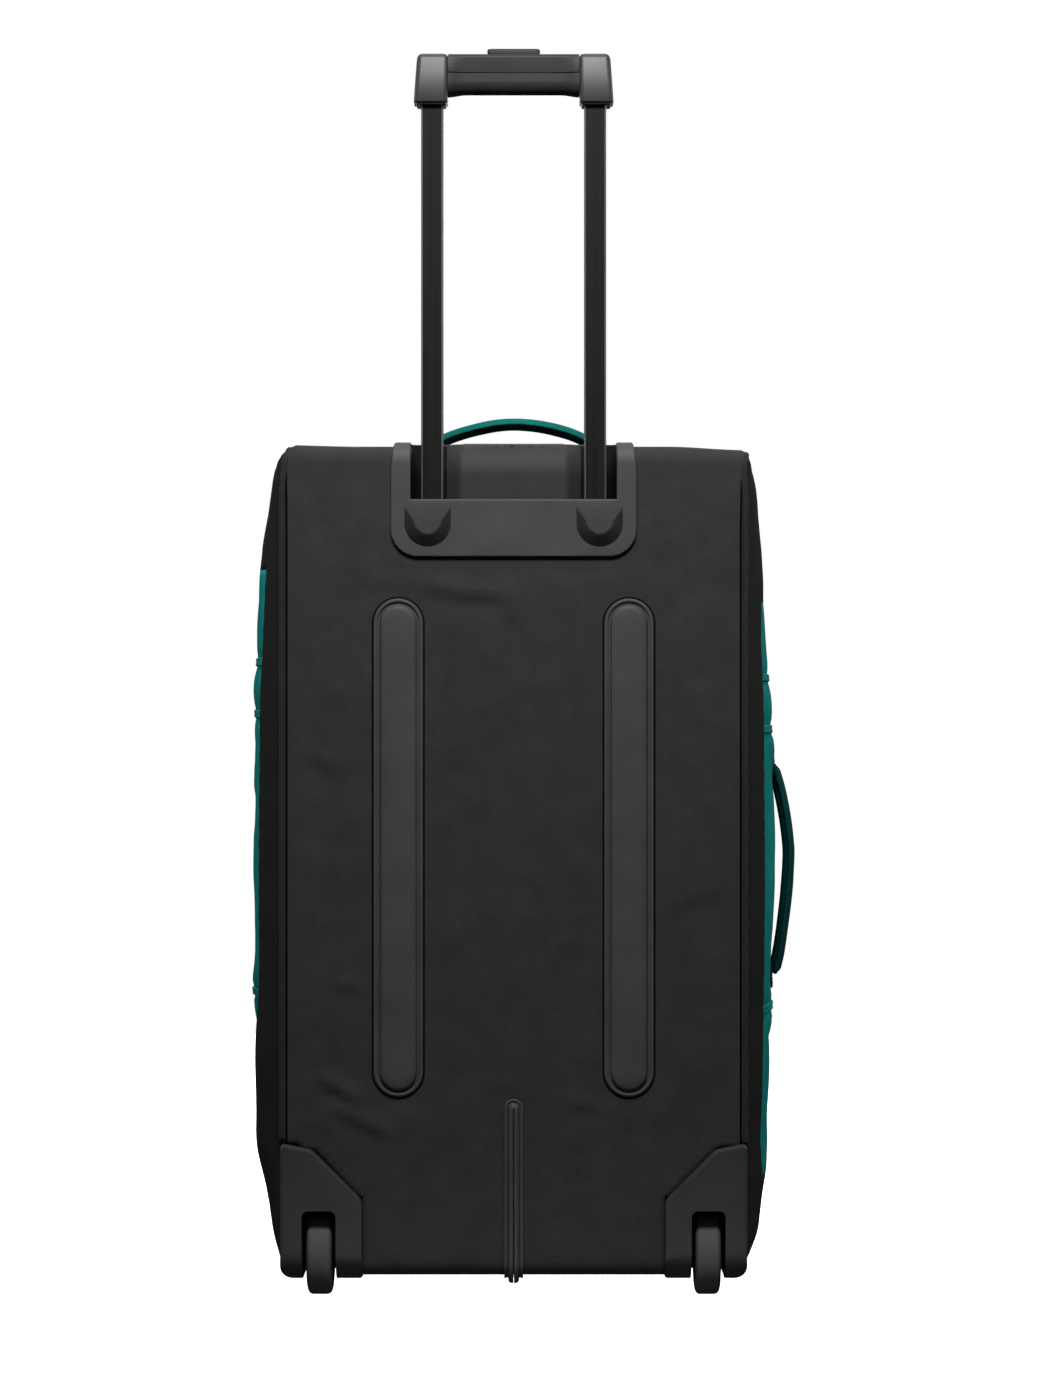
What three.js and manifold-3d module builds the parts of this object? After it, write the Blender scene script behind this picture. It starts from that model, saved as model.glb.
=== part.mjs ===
// A wheeled duffel bag standing upright with its pull handle drawn out.
// Millimetres, +Z up. The back panel faces -Y, the floor is z = 0 and X runs across the bag.
// The bag is first laid out from the middle of its back panel, and the whole group is then moved
// so that its origin is the middle of its bounding box, at the floor.

import * as THREE from "three";
import { ConvexGeometry } from "three/addons/geometries/ConvexGeometry.js";
import { mergeVertices } from "three/addons/utils/BufferGeometryUtils.js";
import Module from "manifold-3d";

const wasm = await Module();
wasm.setup();

// Clearances
const GAP = 0.3; // between two pieces that touch
const SLIDE_GAP = 0.6; // round a piece that slides or turns

// Cloth body
const PANEL_WIDTH = 348; // back panel, seam to seam
const BAG_BOTTOM = 17; // height of the bottom cloth above the floor
const BAG_HEIGHT = 634;
const BAG_DEPTH = 312; // back panel to the front's edge
const FRONT_CROWN = 10; // how far the front swells past its edge
const SIDE_BULGE = 35; // how far each side swells past the back panel's seam
const CLOTH = 2.4; // thickness of the padded cloth wall
const END_ROUND = 12; // rounding between the back panel and the ends
const FRONT_ROUND = 48; // rounding between the front and the sides
const CORNER_ROUND = 15; // rounding between the sides and the ends
const SEAM_DEPTH = 74; // seam between the rear shell and the panels, behind the back panel
const TOP_END_HEIGHT = 104.5; // black end above the teal panels, at the middle of the bag
const TOP_END_TILT = 3.7; // degrees by which its seam rises towards the left
const BOTTOM_END_HEIGHT = 65; // black end below them

// Bands, piping and zip
const BAND_WIDTH = 7;
const BAND_THICK = 1.1;
const BAND_TILT = 1.7; // degrees by which the bands rise towards the left
const UPPER_BAND_DROP = 65.5; // upper and middle bands, below the seam of the top end
const MIDDLE_BAND_DROP = 106.5;
const LOWER_BAND_RISE = 137; // lower band, above the seam of the bottom end
const PIPING_R = 2.6;
const PIPING_OUT = 2; // its centre outside the seam
const ZIP_TAPE = 28;
const ZIP_CHAIN = 6;
const ZIP_CHAIN_RISE = 1.6;
const ZIP_RISE = 53; // ends of the zip, from the bottom and the top of the bag
const ZIP_DROP = 59;

// Webbing handles
const HANDLE_DEPTH = 165; // middle of both carry handles, from the back panel
const PAD_WIDTH = 32;
const PAD_THICK = 9.5;
const TAB_THICK = 2;
const TOP_TAB_LENGTH = 38; // flat end of the top handle that is sewn on
const SIDE_TAB_LENGTH = 17;
const TAB_LAP = 6; // length of a tab under the padded part
const TOP_HANDLE_SPAN = 164;
const TOP_HANDLE_RISE = 23.7;
const SIDE_HANDLE_RAISE = 17; // lower end of its padded part, above the lower band
const SIDE_HANDLE_SPAN = 166;
const SIDE_HANDLE_RISE = 9.6;

// Pull handle
const TUBE_SPREAD = 124.8; // between the tube centres
const TUBE_Y = 16; // tube centres behind the back panel
const TUBE_WIDTH = 17;
const TUBE_THICK = 14;
const TUBE_WALL = 1.4;
const TUBE_CHAMFER = 2;
const TUBE_STOP = 86.1; // lower end of a pushed-in tube above the bottom of the bag
const HANDLE_TRAVEL = 295;
const SLEEVE_WALL = 1.4;
const CAP_OUTSIDE = 14.6; // outer side of a cap from its tube's centre
const CAP_WIDTH = 26.5;
const CAP_HEIGHT = 43;
const CAP_DEPTH = 28;
const CAP_SOCKET = 32;
const CAP_FLARE = 2.5; // how much wider a cap is at its lip than at its top
const CAP_LIP = 4;
const CAP_ROUND = 9;
const CAP_BEVEL = 2;
const BAR_HEIGHT = 30;
const BAR_DEPTH = 19;
const BAR_Y = 12.5; // middle of the grip bar behind the back panel
const BUTTON_LENGTH = 40;
const BUTTON_WIDTH = 11;
const BUTTON_RISE = 4.3;
const BUTTON_SINK = 8;
const BUTTON_TRAVEL = 3;

// Handle housing
const PLATE_ARM = 15.3; // plate beside the recess
const PLATE_THICK = 3;
const PLATE_CORNER = 21;
const PLATE_FLANGE = 45; // how far it reaches over the top of the bag
const PLATE_BAR = 44; // height of its closed lower bar
const RECESS_SIDE = 16.1; // side of the recess from a tube's centre
const RECESS_HEIGHT = 41;
const RECESS_DEPTH = 34;
const RECESS_PAD_WIDTH = 82; // raised middle of the recess's rear wall
const RECESS_PAD_DEPTH = 24;
const RECESS_WALL = 2.5;
const GRIP_REST = 1.4; // air under the grip when it is pushed in
const BUMP_OUTSIDE = 3.1; // centre of a bump outside a tube's centre
const BUMP_WIDTH = 37.6;
const BUMP_HEIGHT = 33;
const BUMP_RISE = 8;
const BUMP_TIP = 11.4; // height of its highest point above its lower edge
const BUMP_NOSE = 1.5; // radius of that point
const BUMP_ROOT = 1; // how far it reaches into the plate

// Skid strips and kick rail
const SKID_SPREAD = 175.8;
const SKID_WIDTH = 38;
const SKID_DROP = 31; // its top below the handle housing
const SKID_RISE = 34.5; // its bottom above the wheel housings
const RAIL_WIDTH = 14.5;
const RAIL_RISE = 33.5; // its top above the wheel housings
const RAIL_THICK = 1.6;
const RIM_WIDTH = 1.6;
const RIM_RISE = 0.8;
const RIDGE_WIDTH = 8.3;
const RIDGE_RISE = 4.1;
const RAIL_REACH = 92; // how far the rail runs under the bag

// Wheels and their housings
const WHEEL_INSET = 29.5; // middle of a wheel inside its housing's outer side
const WHEEL_R = 32;
const WHEEL_Y = 27; // axle behind the back panel
const TYRE_WIDTH = 16.4;
const TYRE_INNER_R = 22;
const TYRE_SHOULDER = 3.2;
const HUB_BOSS_R = 8;
const HUB_RIM = 3.5;
const HUB_WEB = 6;
const AXLE_R = 3.5;
const SHELL_WRAP = 4; // how far a housing reaches round the back panel's seam
const SHELL_WIDTH = 63;
const SHELL_TOP = 119.5;
const SHELL_BOTTOM = 13.5;
const SHELL_DROP = 5; // fall of its top edge towards the shoulder
const SHELL_SHOULDER = 24.4; // width of that top edge
const SHELL_PROUD = 5; // how far it stands out behind the back panel
const SHELL_DEPTH = 70;
const SHELL_WALL = 3;
const SHELL_BEVEL = 3;
const SHELL_HEEL = 24; // rounding of its lower rear edge, round which the bag tips
const SLOT_WIDTH = 26;
const SLOT_TOP_GAP = 4; // air above the wheel
const SLOT_CORNER = 5;

// Front feet
const FOOT_SPREAD = 240;
const FOOT_LENGTH = 60;
const FOOT_SETBACK = 50; // front of a foot behind the bag's front edge
const FOOT_DEPTH = 30;
const FOOT_TAPER = 5;

// Smoothness of round shapes
const CURVE_STEPS = 6;
const ROUND_STEPS = 3;
const WHEEL_STEPS = 32;
const SIDE_STEPS = 11;
const END_STEPS = 3;
const PIPE_SIDES = 8;
const STRAP_STEPS = 14;

// Derived places
const HALF_PANEL = PANEL_WIDTH / 2;
const BAG_TOP = BAG_BOTTOM + BAG_HEIGHT;
const FAR = 1000;
const RECESS_FLOOR = BAG_TOP - RECESS_HEIGHT;
const PLATE_BOTTOM = RECESS_FLOOR - PLATE_BAR;
const CAP_REST = RECESS_FLOOR + GRIP_REST;
const CAP_BOTTOM = CAP_REST + HANDLE_TRAVEL;
const CAP_TOP = CAP_BOTTOM + CAP_HEIGHT;
const BAR_TOP = CAP_TOP - 0.6;
const SLOT_TOP = 2 * WHEEL_R + SLOT_TOP_GAP;
const UPPER_SEAM = BAG_TOP - TOP_END_HEIGHT;
const LOWER_SEAM = BAG_BOTTOM + BOTTOM_END_HEIGHT;
const LOWER_BAND_Z = LOWER_SEAM + LOWER_BAND_RISE;
const SIDE_HANDLE_Z = LOWER_BAND_Z + SIDE_HANDLE_RAISE;
const ZIP_BOTTOM = BAG_BOTTOM + ZIP_RISE;
const ZIP_TOP = BAG_TOP - ZIP_DROP;
const RECESS_WIDTH = TUBE_SPREAD + 2 * RECESS_SIDE;
const PLATE_WIDTH = RECESS_WIDTH + 2 * PLATE_ARM;
const GRIP_WIDTH = TUBE_SPREAD + 2 * CAP_OUTSIDE;
const BUMP_SPREAD = TUBE_SPREAD + 2 * BUMP_OUTSIDE;
const TUBE_LENGTH = CAP_REST + CAP_SOCKET - GAP - BAG_BOTTOM - TUBE_STOP;
const SHELL_OUTER = HALF_PANEL + SHELL_WRAP;
const WHEEL_SPREAD = 2 * (SHELL_OUTER - WHEEL_INSET);
const SKID_BOTTOM = SHELL_TOP + SKID_RISE;
const SKID_LENGTH = PLATE_BOTTOM - SKID_DROP - SKID_BOTTOM;
const RAIL_TOP = SHELL_TOP + RAIL_RISE;
const FOOT_FRONT = BAG_DEPTH - FOOT_SETBACK;

// How far the sides swell at each height, from the bottom of the bag to its top.
// height: share of BAG_HEIGHT. swell: share of SIDE_BULGE.
const BARREL = [
  { height: 0.0, swell: 0.28 },
  { height: 0.03, swell: 0.5 },
  { height: 0.055, swell: 0.62 },
  { height: 0.105, swell: 0.78 },
  { height: 0.155, swell: 0.86 },
  { height: 0.255, swell: 0.94 },
  { height: 0.38, swell: 0.99 },
  { height: 0.53, swell: 1.0 },
  { height: 0.68, swell: 0.96 },
  { height: 0.757, swell: 0.89 },
  { height: 0.832, swell: 0.8 },
  { height: 0.932, swell: 0.6 },
  { height: 0.98, swell: 0.47 },
  { height: 1.0, swell: 0.31 },
];

// The same swell through the bag's depth, from the back panel to the front's edge.
// depth: share of BAG_DEPTH. swell: share of the swell at that height. corner: share of CORNER_ROUND.
const SIDE_RUN = [
  { depth: 0.0, swell: 0.0, corner: 0.3 },
  { depth: 0.03, swell: 0.17, corner: 0.45 },
  { depth: 0.07, swell: 0.32, corner: 0.65 },
  { depth: 0.13, swell: 0.5, corner: 0.85 },
  { depth: 0.21, swell: 0.67, corner: 1.0 },
  { depth: 0.31, swell: 0.87, corner: 1.0 },
  { depth: 0.43, swell: 1.0, corner: 1.2 },
  { depth: 0.57, swell: 1.0, corner: 1.4 },
  { depth: 0.7, swell: 0.95, corner: 1.7 },
  { depth: 0.83, swell: 0.84, corner: 2.0 },
  { depth: 1.0, swell: 0.66, corner: 2.6 },
];

// Centre line of the side handle, from its lower end to its upper end.
// along: share of SIDE_HANDLE_SPAN. out: share of SIDE_HANDLE_RISE.
const SIDE_HANDLE_LINE = [
  { along: 0.0, out: 0.0 },
  { along: 0.12, out: 0.36 },
  { along: 0.33, out: 0.74 },
  { along: 0.57, out: 1.0 },
  { along: 0.74, out: 0.9 },
  { along: 0.88, out: 0.42 },
  { along: 1.0, out: 0.0 },
];

// Section of a skid strip from its middle out to its edge, then down to the cloth.
// inset: from the edge. rise: above the cloth. Both in millimetres of the strip's own moulding.
const SKID_SECTION = [
  { inset: 17.0, rise: 4.2 },
  { inset: 12.5, rise: 4.0 },
  { inset: 10.6, rise: 3.0 },
  { inset: 7.4, rise: 2.7 },
  { inset: 6.4, rise: 3.6 },
  { inset: 5.2, rise: 3.6 },
  { inset: 4.4, rise: 1.3 },
  { inset: 3.4, rise: 1.3 },
  { inset: 2.9, rise: 1.9 },
  { inset: 0.7, rise: 1.9 },
  { inset: 0.0, rise: 1.2 },
];

const clothBlack = new THREE.MeshStandardMaterial({ color: 0x303030, roughness: 0.95 });
const clothTeal = new THREE.MeshStandardMaterial({ color: 0x12605c, roughness: 0.9 });
const plasticGrey = new THREE.MeshStandardMaterial({ color: 0x3d3d3d, roughness: 0.6 });
const plasticBlack = new THREE.MeshStandardMaterial({ color: 0x232323, roughness: 0.5 });
const tubeBlack = new THREE.MeshStandardMaterial({ color: 0x1c1c1c, roughness: 0.4, metalness: 0.6 });
const rubber = new THREE.MeshStandardMaterial({ color: 0x333333, roughness: 0.85 });
const steel = new THREE.MeshStandardMaterial({ color: 0x9a9a9a, roughness: 0.35, metalness: 1 });

const bag = new THREE.Group();

// Solids

// The manifold-3d solid of a closed geometry.
function solid(geometry) {
  const bare = geometry.clone();
  bare.deleteAttribute("normal");
  bare.deleteAttribute("uv");
  const merged = mergeVertices(bare, 1e-4);
  return new wasm.Manifold(
    new wasm.Mesh({
      numProp: 3,
      vertProperties: merged.attributes.position.array,
      triVerts: new Uint32Array(merged.index.array),
    }),
  );
}

// Adds a solid to the bag as a named mesh.
function add(name, piece, material) {
  const { vertProperties, triVerts, numProp } = piece.getMesh();
  const points = [];
  for (let i = 0; i < vertProperties.length; i += numProp) {
    points.push(vertProperties[i], vertProperties[i + 1], vertProperties[i + 2]);
  }
  const geometry = new THREE.BufferGeometry();
  geometry.setAttribute("position", new THREE.Float32BufferAttribute(points, 3));
  geometry.setIndex([...triVerts]);
  geometry.computeVertexNormals();
  const mesh = new THREE.Mesh(geometry, material);
  mesh.name = name;
  bag.add(mesh);
}

const X = new THREE.Vector3(1, 0, 0);
const Y = new THREE.Vector3(0, 1, 0);
const Z = new THREE.Vector3(0, 0, 1);

// How a flat shape stands before it is extruded: along x it is drawn in (y, z), along y in (x, z).
const STAND = {
  x: new THREE.Matrix4().makeBasis(Y, Z, X),
  y: new THREE.Matrix4().makeBasis(X, Z, Y.clone().negate()),
  z: new THREE.Matrix4(),
};

// A shape extruded along an axis, grown sideways by grow, with its end edges bevelled.
function prism(shape, axis, from, to, { grow = 0, bevel = 0 } = {}) {
  const geometry = new THREE.ExtrudeGeometry(shape, {
    depth: to - from - 2 * bevel,
    curveSegments: CURVE_STEPS,
    bevelEnabled: true,
    bevelThickness: bevel,
    bevelSize: bevel,
    bevelOffset: grow - bevel,
    bevelSegments: bevel > 0 ? 2 : 0,
  });
  geometry.applyMatrix4(STAND[axis]);
  const start = axis === "y" ? to - bevel : from + bevel;
  geometry.translate(...{ x: X, y: Y, z: Z }[axis].clone().multiplyScalar(start));
  return solid(geometry);
}

// A closed outline through corners of [x, y, radius].
function outline(corners) {
  const shape = new THREE.Shape();
  corners.forEach(([x, y, radius], i) => {
    const [px, py] = corners.at(i - 1);
    const [nx, ny] = corners[(i + 1) % corners.length];
    const here = new THREE.Vector2(x, y);
    const back = new THREE.Vector2(px - x, py - y).normalize();
    const on = new THREE.Vector2(nx - x, ny - y).normalize();
    if (radius > 0) {
      const half = Math.acos(THREE.MathUtils.clamp(back.dot(on), -1, 1)) / 2;
      const reach = radius / Math.tan(half);
      const start = here.clone().addScaledVector(back, reach);
      const centre = back.clone().add(on).setLength(radius / Math.sin(half)).add(here);
      const end = here.clone().addScaledVector(on, reach);
      const from = start.sub(centre).angle();
      const to = end.sub(centre).angle();
      shape.absarc(centre.x, centre.y, radius, from, to, back.cross(on) > 0);
    } else if (i === 0) {
      shape.moveTo(x, y);
    } else {
      shape.lineTo(x, y);
    }
  });
  shape.closePath();
  return shape;
}

// A rectangle with rounded corners, given by two opposite corners.
function rectangle(x0, y0, x1, y1, radius = 0) {
  return outline([
    [x0, y0, radius],
    [x1, y0, radius],
    [x1, y1, radius],
    [x0, y1, radius],
  ]);
}

// A plain block between two opposite corners.
function block([x0, y0, z0], [x1, y1, z1]) {
  const geometry = new THREE.BoxGeometry(x1 - x0, y1 - y0, z1 - z0);
  geometry.translate((x0 + x1) / 2, (y0 + y1) / 2, (z0 + z1) / 2);
  return solid(geometry);
}

// A body turned about an axis along X through (y, z). The profile holds [x, radius] and runs
// round its section so that its outer side goes towards +X.
function turned(profile, x, y, z) {
  const points = profile.map(([along, radius]) => new THREE.Vector2(radius, along));
  const geometry = new THREE.LatheGeometry([...points, points[0]], WHEEL_STEPS);
  geometry.rotateZ(-Math.PI / 2);
  geometry.translate(x, y, z);
  return solid(geometry);
}

// A solid through closed loops of points, the first and last closed by a flat fan.
// The loops run anticlockwise as seen from -Y, from the rearmost one on.
function loft(loops) {
  const size = loops[0].length;
  const points = loops.flat();
  const index = [];
  for (let i = 0; i + 1 < loops.length; i++) {
    for (let j = 0; j < size; j++) {
      const a = i * size + j;
      const b = i * size + ((j + 1) % size);
      index.push(a, a + size, b + size, a, b + size, b);
    }
  }
  for (const [loop, first, turn] of [
    [loops[0], 0, false],
    [loops.at(-1), points.length - size, true],
  ]) {
    const middle = loop.reduce((sum, p) => sum.add(p), new THREE.Vector3()).divideScalar(size);
    const centre = points.push(middle) - 1;
    for (let j = 0; j < size; j++) {
      const a = first + j;
      const b = first + ((j + 1) % size);
      index.push(centre, turn ? b : a, turn ? a : b);
    }
  }
  const geometry = new THREE.BufferGeometry().setFromPoints(points);
  geometry.setIndex(index);
  return solid(geometry);
}

// Cloth body

// The value of a table's column at a place between its rows.
function read(table, key, column, at) {
  const next = table.findIndex((row) => row[key] >= at);
  if (next <= 0) return table.at(next)[column];
  const [low, high] = [table[next - 1], table[next]];
  const share = (at - low[key]) / (high[key] - low[key]);
  return THREE.MathUtils.lerp(low[column], high[column], share);
}

// Half the width of the bag at a height and a depth.
function halfWidth(z, y) {
  const height = THREE.MathUtils.clamp((z - BAG_BOTTOM) / BAG_HEIGHT, 0, 1);
  const depth = THREE.MathUtils.clamp(y / BAG_DEPTH, 0, 1);
  const swell = read(BARREL, "height", "swell", height) * read(SIDE_RUN, "depth", "swell", depth);
  return HALF_PANEL + SIDE_BULGE * swell;
}

// One upright section of the body. pull draws in its ends and sides, scale shrinks it to its middle.
function section({ y, endPull, sidePull, scale }, outset) {
  const depth = THREE.MathUtils.clamp(y / BAG_DEPTH, 0, 1);
  const corner = CORNER_ROUND * read(SIDE_RUN, "depth", "corner", depth) + outset;
  const low = BAG_BOTTOM - outset + endPull + corner;
  const high = BAG_TOP + outset - endPull - corner;
  const side = (z) => halfWidth(z, y) + outset - sidePull;
  const half = [];
  for (let i = 0; i < END_STEPS; i++) {
    half.push([((side(low) - corner) * i) / END_STEPS, low - corner]);
  }
  for (let i = 0; i < ROUND_STEPS; i++) {
    const turn = ((i / ROUND_STEPS) * Math.PI) / 2;
    half.push([side(low) - corner * (1 - Math.sin(turn)), low - corner * Math.cos(turn)]);
  }
  for (let i = 0; i <= SIDE_STEPS; i++) {
    const z = THREE.MathUtils.lerp(low, high, i / SIDE_STEPS);
    half.push([side(z), z]);
  }
  for (let i = 1; i <= ROUND_STEPS; i++) {
    const turn = ((i / ROUND_STEPS) * Math.PI) / 2;
    half.push([side(high) - corner * (1 - Math.cos(turn)), high + corner * Math.sin(turn)]);
  }
  for (let i = END_STEPS - 1; i > 0; i--) {
    half.push([((side(high) - corner) * i) / END_STEPS, high + corner]);
  }
  const top = [0, high + corner];
  const mirrored = half.slice(1).reverse();
  const loop = [...half, top, ...mirrored.map(([x, z]) => [-x, z])];
  const middle = (BAG_BOTTOM + BAG_TOP) / 2;
  return loop.map(([x, z]) => new THREE.Vector3(x * scale, y, middle + (z - middle) * scale));
}

// The outer form of the stuffed bag as one solid, grown on every side by outset.
function form(outset) {
  const endRound = END_ROUND + outset;
  const frontRound = FRONT_ROUND + outset;
  const rear = -outset;
  const front = BAG_DEPTH + outset;
  const rows = [];
  for (let i = 0; i <= ROUND_STEPS; i++) {
    const turn = ((i / ROUND_STEPS) * Math.PI) / 2;
    const y = rear + endRound * (1 - Math.cos(turn));
    rows.push({ y, endPull: endRound * (1 - Math.sin(turn)), sidePull: 0, scale: 1 });
  }
  for (const row of SIDE_RUN) {
    const y = row.depth * BAG_DEPTH;
    if (y > END_ROUND + 1 && y < BAG_DEPTH - FRONT_ROUND - 1) {
      rows.push({ y, endPull: 0, sidePull: 0, scale: 1 });
    }
  }
  for (let i = 0; i <= ROUND_STEPS; i++) {
    const turn = ((i / ROUND_STEPS) * Math.PI) / 2;
    const pull = frontRound * (1 - Math.cos(turn));
    const y = front - frontRound * (1 - Math.sin(turn));
    rows.push({ y, endPull: pull, sidePull: pull, scale: 1 });
  }
  for (const scale of [0.8, 0.5, 0.2]) {
    const y = front + FRONT_CROWN * (1 - scale * scale);
    rows.push({ y, endPull: frontRound, sidePull: frontRound, scale });
  }
  return loft(rows.map((row) => section(row, outset)));
}

// A layer that follows the body, from inner to outer distance outside its cloth.
function layer(inner, outer) {
  return form(outer).subtract(form(inner));
}

const wall = layer(-CLOTH, 0);
const webbing = layer(GAP, GAP + TAB_THICK);
const bands = layer(GAP, GAP + BAND_THICK);

const seamY = SEAM_DEPTH + GAP / 2;
// All that is in front of the rear shell, and the part of it above a height at the middle of the
// bag. That height rises towards the left by tilt degrees.
const infront = block([-FAR, seamY, -FAR], [FAR, FAR, FAR]);
const above = (z, tilt) =>
  block([-FAR, seamY, 0], [FAR, FAR, 2 * FAR]).rotate([0, tilt, 0]).translate([0, 0, z]);
const beside = (side) => {
  const inner = ZIP_TAPE / 2 + GAP;
  return side < 0
    ? block([-FAR, seamY, -FAR], [-inner, FAR, FAR])
    : block([inner, seamY, -FAR], [FAR, FAR, FAR]);
};
const zipSlot = block(
  [-ZIP_TAPE / 2 - GAP, BAG_DEPTH / 2, ZIP_BOTTOM - GAP],
  [ZIP_TAPE / 2 + GAP, FAR, ZIP_TOP + GAP],
);

// Wheel housings

// Outline of a wheel housing in (x, z), for the right side.
function shellOutline() {
  const inner = SHELL_OUTER - SHELL_WIDTH;
  const shoulder = SHELL_OUTER - SHELL_SHOULDER;
  const shoulderZ = SHELL_TOP - SHELL_DROP;
  return outline([
    [inner, SHELL_BOTTOM, 5],
    [SHELL_OUTER, SHELL_BOTTOM, 12],
    [SHELL_OUTER, SHELL_TOP, 4],
    [shoulder, shoulderZ, 12],
    [inner, shoulderZ - (shoulder - inner), 14],
  ]);
}

// The housing's side view in (y, z), with the rounded heel, drawn in by inset.
function shellSide(inset) {
  const rear = inset - SHELL_PROUD;
  const low = SHELL_BOTTOM + inset;
  return outline([
    [rear, low, SHELL_HEEL - inset],
    [FAR, low, 0],
    [FAR, FAR, 0],
    [rear, FAR, 0],
  ]);
}

// The space round a wheel, grown by grow: open behind and below, closed in front and above.
function wheelSlot(x, grow) {
  const half = SLOT_WIDTH / 2;
  const across = rectangle(x - half, -FAR, x + half, SLOT_TOP, SLOT_CORNER);
  const reach = SLOT_TOP - WHEEL_R;
  const along = outline([
    [-FAR, -FAR, 0],
    [WHEEL_Y + reach, -FAR, 0],
    [WHEEL_Y + reach, SLOT_TOP, reach - 1],
    [-FAR, SLOT_TOP, 0],
  ]);
  return prism(across, "y", -FAR / 2, FAR / 2, { grow }).intersect(
    prism(along, "x", x - SLOT_WIDTH, x + SLOT_WIDTH, { grow }),
  );
}

// The housing before its wheel slot is cut, as a solid block grown by grow.
function shellBlock(grow, bevel) {
  const depth = [-SHELL_PROUD - grow, SHELL_DEPTH + grow];
  return prism(shellOutline(), "y", ...depth, { grow, bevel }).intersect(
    prism(shellSide(-grow), "x", 0, FAR),
  );
}

function wheelHousing() {
  const x = WHEEL_SPREAD / 2;
  const inside = prism(shellOutline(), "y", -FAR / 2, FAR / 2, { grow: -SHELL_WALL })
    .intersect(prism(shellSide(SHELL_WALL), "x", 0, FAR))
    .subtract(wheelSlot(x, SHELL_WALL));
  const pin = new THREE.CylinderGeometry(AXLE_R + GAP, AXLE_R + GAP, axleLength + 1, 16);
  pin.rotateZ(Math.PI / 2);
  pin.translate(x, WHEEL_Y, WHEEL_R);
  return shellBlock(0, SHELL_BEVEL)
    .subtract(inside)
    .subtract(wheelSlot(x, 0))
    .subtract(solid(pin));
}

const axleLength = SLOT_WIDTH + 2 * SHELL_WALL;

function axle() {
  const pin = new THREE.CylinderGeometry(AXLE_R, AXLE_R, axleLength - 2 * GAP, 24);
  pin.rotateZ(Math.PI / 2);
  pin.translate(WHEEL_SPREAD / 2, WHEEL_Y, WHEEL_R);
  return solid(pin);
}

function wheelHub() {
  const bore = AXLE_R + SLIDE_GAP / 2;
  const boss = SLOT_WIDTH / 2 - SLIDE_GAP;
  const rim = TYRE_WIDTH / 2 - GAP;
  const web = HUB_WEB / 2;
  const outer = TYRE_INNER_R - GAP;
  const profile = [
    [-boss, bore],
    [-boss, HUB_BOSS_R - 1],
    [-boss + 1, HUB_BOSS_R],
    [-web, HUB_BOSS_R],
    [-web, outer - HUB_RIM],
    [-rim, outer - HUB_RIM + 0.6],
    [-rim, outer],
    [rim, outer],
    [rim, outer - HUB_RIM + 0.6],
    [web, outer - HUB_RIM],
    [web, HUB_BOSS_R],
    [boss - 1, HUB_BOSS_R],
    [boss, HUB_BOSS_R - 1],
    [boss, bore],
  ];
  return turned(profile, WHEEL_SPREAD / 2, WHEEL_Y, WHEEL_R);
}

function tyre() {
  const half = TYRE_WIDTH / 2;
  const shoulder = [];
  for (let i = 0; i <= 3; i++) {
    const turn = ((i / 3) * Math.PI) / 2;
    const along = half - TYRE_SHOULDER * (1 - Math.sin(turn));
    shoulder.push([along, WHEEL_R - TYRE_SHOULDER * (1 - Math.cos(turn))]);
  }
  const left = shoulder.map(([along, radius]) => [-along, radius]).reverse();
  const profile = [[-half, TYRE_INNER_R], ...left, ...shoulder, [half, TYRE_INNER_R]];
  return turned(profile, WHEEL_SPREAD / 2, WHEEL_Y, WHEEL_R);
}

// Handle housing

const TUBES = [-TUBE_SPREAD / 2, TUBE_SPREAD / 2];

// Section of a pull tube in (x, y), with cut corners.
function tubeOutline(x) {
  const [w, t, c] = [TUBE_WIDTH / 2, TUBE_THICK / 2, TUBE_CHAMFER];
  return outline([
    [x - w + c, TUBE_Y - t, 0],
    [x + w - c, TUBE_Y - t, 0],
    [x + w, TUBE_Y - t + c, 0],
    [x + w, TUBE_Y + t - c, 0],
    [x + w - c, TUBE_Y + t, 0],
    [x - w + c, TUBE_Y + t, 0],
    [x - w, TUBE_Y + t - c, 0],
    [x - w, TUBE_Y - t + c, 0],
  ]);
}

// The hollow of the recess, grown by grow.
function recess(grow, up) {
  const half = RECESS_WIDTH / 2;
  const pad = RECESS_PAD_WIDTH / 2 - grow;
  const floor = RECESS_FLOOR - grow;
  const deep = block([-half - grow, -FAR, floor], [half + grow, RECESS_DEPTH + grow, up]);
  const raised = block([-pad, RECESS_PAD_DEPTH + grow, -FAR], [pad, FAR, FAR]);
  return deep.subtract(raised);
}

// A wedge bump: a round-bottomed outline on the plate that runs up to one point near its lower end.
function bump(x) {
  const radius = BUMP_WIDTH / 2;
  const low = PLATE_BOTTOM + (PLATE_BAR - BUMP_HEIGHT) / 2;
  const face = -GAP - PLATE_THICK;
  const points = [];
  for (const y of [face + BUMP_ROOT, face]) {
    points.push(new THREE.Vector3(x - radius, y, low + BUMP_HEIGHT));
    points.push(new THREE.Vector3(x + radius, y, low + BUMP_HEIGHT));
    for (let i = 0; i <= 2 * CURVE_STEPS; i++) {
      const turn = Math.PI + (Math.PI * i) / (2 * CURVE_STEPS);
      const across = radius * Math.cos(turn);
      points.push(new THREE.Vector3(x + across, y, low + radius + radius * Math.sin(turn)));
    }
  }
  for (let i = 0; i < 8; i++) {
    const turn = (Math.PI * i) / 4;
    const z = low + BUMP_TIP + BUMP_NOSE * Math.sin(turn);
    points.push(new THREE.Vector3(x + BUMP_NOSE * Math.cos(turn), face - BUMP_RISE, z));
  }
  return solid(new ConvexGeometry(points));
}

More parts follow.
